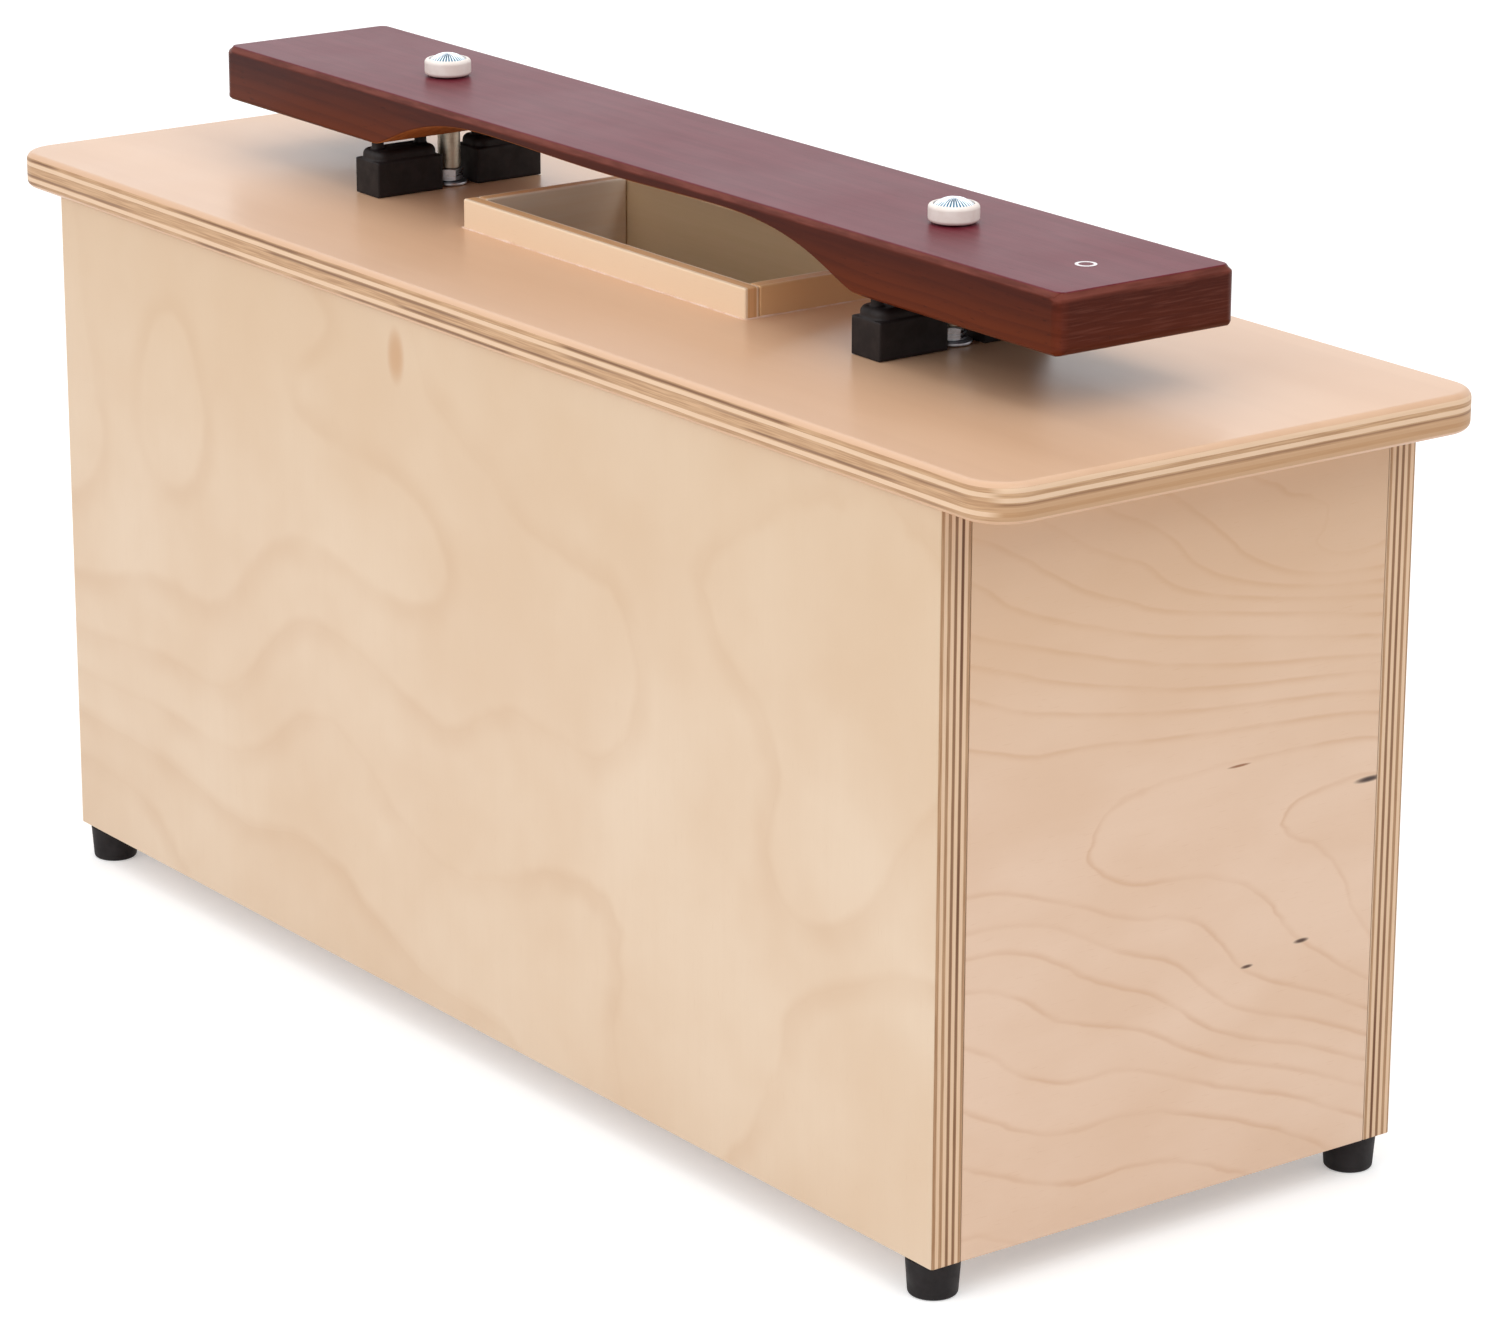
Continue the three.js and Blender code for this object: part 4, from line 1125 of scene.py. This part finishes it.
def make_dome(side):
    """A shallow dome folded into flutes; the depth of the fold is kept as an attribute, which the finish uses
    for the painted shade in the flutes.
    """
    node = side + "_cap_dome"
    radius, tall = girth(node)
    rise = tall - DOME_RIM
    sphere = (radius * radius + rise * rise) / (2 * rise)
    sides = DOME_FLUTES * DOME_SEGMENTS
    profile = [(radius, 0.0, 0.0), (radius, DOME_RIM, 0.0)]
    for k in range(1, DOME_RINGS):
        r = radius * math.cos(math.pi / 2 * k / DOME_RINGS)
        z = tall - sphere + math.sqrt(sphere * sphere - r * r)
        reach = min(1.0, max(0.0, (r - DOME_PLAIN_RADIUS) / DOME_FADE))
        profile.append((r, z, reach * reach * (3 - 2 * reach)))
    bm = bmesh.new()
    fold_layer = bm.verts.layers.float.new("flute_shade")
    rings = [[bm.verts.new((0, 0, 0))]]
    for r, z, fold in profile:
        ring = []
        for turn in (j / sides for j in range(sides)):
            valley = (0.5 - 0.5 * math.cos(2 * math.pi * DOME_FLUTES * turn)) * fold
            vert = bm.verts.new(polar(r, turn, z - FLUTE_DEPTH * valley))
            vert[fold_layer] = valley
            ring.append(vert)
        rings.append(ring)
    rings.append([bm.verts.new((0, 0, tall * MM))])
    join_all(bm, rings)
    centre_on(bm, node)
    return add_piece(side + "_cap_button", bm, bright_dome, 60.0)


for side in SIDES:
    hand_over(make_cap_ring(side), side + "_cap", "white_plastic", side + "_cap_ring")
    hand_over(make_dome(side), side + "_cap", "bright_metal", side + "_cap_dome")


# ---- Rubber supports and feet, in millimetres ----

RIDGE_HEIGHT = 3.8
RIDGE_INSET = 0.8
RIDGE_CORNER = 4.5
RIDGE_ROUND = 2.4
PEG_RADIUS = 2.3
PEG_SPACING = 19.0
BLOCK_BODY_HEIGHT = 13.3
BLOCK_MELT = 0.36
FOOT_RADIUS = 8.35
FOOT_HOLLOW = 3.8
FOOT_BORE = 1.8
FOOT_HOLLOW_DEPTH = 6


def make_block():
    """One moulded support: a square body, a low loaf-shaped ridge and two pegs, melted together."""
    low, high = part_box("right_back_block")
    half = (high - low) / 2
    tall = high.z - low.z
    body = BLOCK_BODY_HEIGHT * MM
    peg_low = body / 2
    bm = bmesh.new()
    bmesh.ops.create_cube(bm, size=1.0, matrix=Matrix.Translation((0, 0, body / 2))
                          @ Matrix.Diagonal((2 * half.x, 2 * half.y, body, 1)))
    foot = Vector((half.x - RIDGE_INSET * MM, half.y - RIDGE_INSET * MM))
    levels = [(0.0, body - 2 * MM)]
    levels += [(RIDGE_ROUND * (1 - math.cos(angle)) * MM,
                body + (RIDGE_HEIGHT - RIDGE_ROUND * (1 - math.sin(angle))) * MM) for angle in EDGE_ANGLES]
    rings = [rounded_loop(bm, -foot, foot, RIDGE_CORNER * MM, inset, z) for inset, z in levels]
    join_all(bm, rings)
    close_ends(bm, rings)
    for y in (-PEG_SPACING / 2, PEG_SPACING / 2):
        bmesh.ops.create_cone(bm, cap_ends=True, segments=32, radius1=PEG_RADIUS * MM,
                              radius2=PEG_RADIUS * MM, depth=tall - peg_low,
                              matrix=Matrix.Translation((0, y * MM, (tall + peg_low) / 2)))
    block = add_piece("support_blocks", bm, block_rubber)
    modify(block, "REMESH", mode="VOXEL", voxel_size=BLOCK_MELT * MM)
    modify(block, "SMOOTH", factor=0.5, iterations=3)
    settle(block)
    smooth_faces(block.data)
    move(block, 0, 0, low.z)
    return rows(block, 2, POST_SPACING, 2, (high.y + low.y) / MM)


def make_feet():
    low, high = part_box("right_back_foot")
    top, tall = girth("right_back_foot")
    bm = turned([(FOOT_HOLLOW, 0, 0.3), (FOOT_RADIUS, 0, 1.2), (top, tall, 0.4), (FOOT_BORE, tall, 0),
                 (FOOT_BORE, FOOT_HOLLOW_DEPTH, 0), (FOOT_HOLLOW, FOOT_HOLLOW_DEPTH, 0)], 56, 5)
    feet = flatten_faces(add_piece("feet", bm, foot_rubber))
    return rows(feet, 2, (high.x + low.x) / MM, 2, (high.y + low.y) / MM)


corners = [f"{side}_{face}" for side in SIDES for face in FACES]
hand_over(make_block(), "box", "block_rubber", *(corner + "_block" for corner in corners))
hand_over(make_feet(), "box", "foot_rubber", *(corner + "_foot" for corner in corners))

kept = [f"{side}_lower_{kind}" for side in SIDES for kind in ("nut", "washer")]
for node in kept + [corner + "_foot_screw" for corner in corners]:
    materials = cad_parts[node].data.materials
    materials.clear()
    materials.append(zinc)


# ---- Floor, light and camera ----

WHITE = (1, 1, 1, 1)
FLOOR_RADIUS = 14.0
FLOOR_GLOW = (1.0, 4.0, 0.34, 0.6)  # near, far, and the glow at each


def seen_rays(graph):
    """1 for rays that show the background: straight, mirrored or through glass."""
    path = graph.add("ShaderNodeLightPath")
    seen = graph.math("MAXIMUM", path["Is Camera Ray"], path["Is Glossy Ray"])
    return graph.math("MAXIMUM", seen, path["Is Transmission Ray"])


def make_floor():
    """A pale disc whose glow rises with the distance from the part, so that its far side stays white."""
    bm = bmesh.new()
    bmesh.ops.create_circle(bm, cap_ends=True, segments=96, radius=FLOOR_RADIUS)
    material = bpy.data.materials.new("pale_floor")
    material.use_nodes = True
    graph = Graph(material.node_tree)
    nodes = material.node_tree.nodes
    nodes.remove(nodes["Principled BSDF"])
    matt = graph.add("ShaderNodeBsdfDiffuse", {"Color": shade(244, 244, 244)})["BSDF"]
    distance = graph.add("ShaderNodeVectorMath", {0: graph.place()}, operation="LENGTH")["Value"]
    strength = seen_rays(graph) * graph.ease(distance, *FLOOR_GLOW)
    glow = graph.add("ShaderNodeEmission", {"Color": WHITE, "Strength": strength})["Emission"]
    both = graph.add("ShaderNodeAddShader", {0: matt, 1: glow})["Shader"]
    graph.feed(nodes["Material Output"].inputs["Surface"], both)
    floor = add_piece("floor", bm, material)


def make_world(level):
    """White where it is seen, and as bright as the level where it lights the part."""
    world = bpy.data.worlds.new("studio")
    world.use_nodes = True
    graph = Graph(world.node_tree)
    background = world.node_tree.nodes["Background"].inputs
    graph.feed(background["Color"], WHITE)
    graph.feed(background["Strength"], level + seen_rays(graph) * (1.0 - level))
    bpy.context.scene.world = world


def add_lamp(name, place, aim, size, power, colour=(1.0, 1.0, 1.0)):
    lamp = bpy.data.lights.new(name, "AREA")
    lamp.color = colour
    lamp.shape = "RECTANGLE"
    lamp.size, lamp.size_y = size
    lamp.energy = power
    holder = bpy.data.objects.new(name, lamp)
    holder.location = place
    holder.rotation_euler = (Vector(aim) - Vector(place)).to_track_quat("-Z", "Y").to_euler()
    bpy.context.scene.collection.objects.link(holder)


def add_camera():
    data = bpy.data.cameras.new("camera")
    data.sensor_fit = "HORIZONTAL"
    data.sensor_width = 36.0
    data.lens = 130.886
    camera = bpy.data.objects.new("camera", data)
    right = Vector((0.593347, 0.804941, 0.003129))
    up = Vector((-0.242289, 0.174889, 0.954311))
    back = Vector((0.767617, -0.566996, 0.298798))
    turn = Matrix((right, up, back)).transposed().to_4x4()
    camera.matrix_world = Matrix.Translation((1.543155, -1.110657, 0.726889)) @ turn
    bpy.context.scene.collection.objects.link(camera)
    bpy.context.scene.camera = camera


make_floor()
make_world(0.5)
add_lamp("overhead", (-0.6, -1.0, 2.6), (-0.6, -1.0, 0.0), (5.0, 5.0), 56)
add_lamp("front", (0.15, -2.5, 1.3), (0, 0, 0.15), (2.0, 1.6), 19)
add_lamp("side", (1.9, 0.3, 1.9), (0.2, 0, 0.1), (1.6, 1.2), 14.5)
add_lamp("window", (-2.6, 1.9, 1.15), (0, 0, 0.3), (2.4, 1.6), 5, (0.78, 0.9, 1.0))
add_camera()
bpy.context.scene.view_settings.view_transform = "Standard"
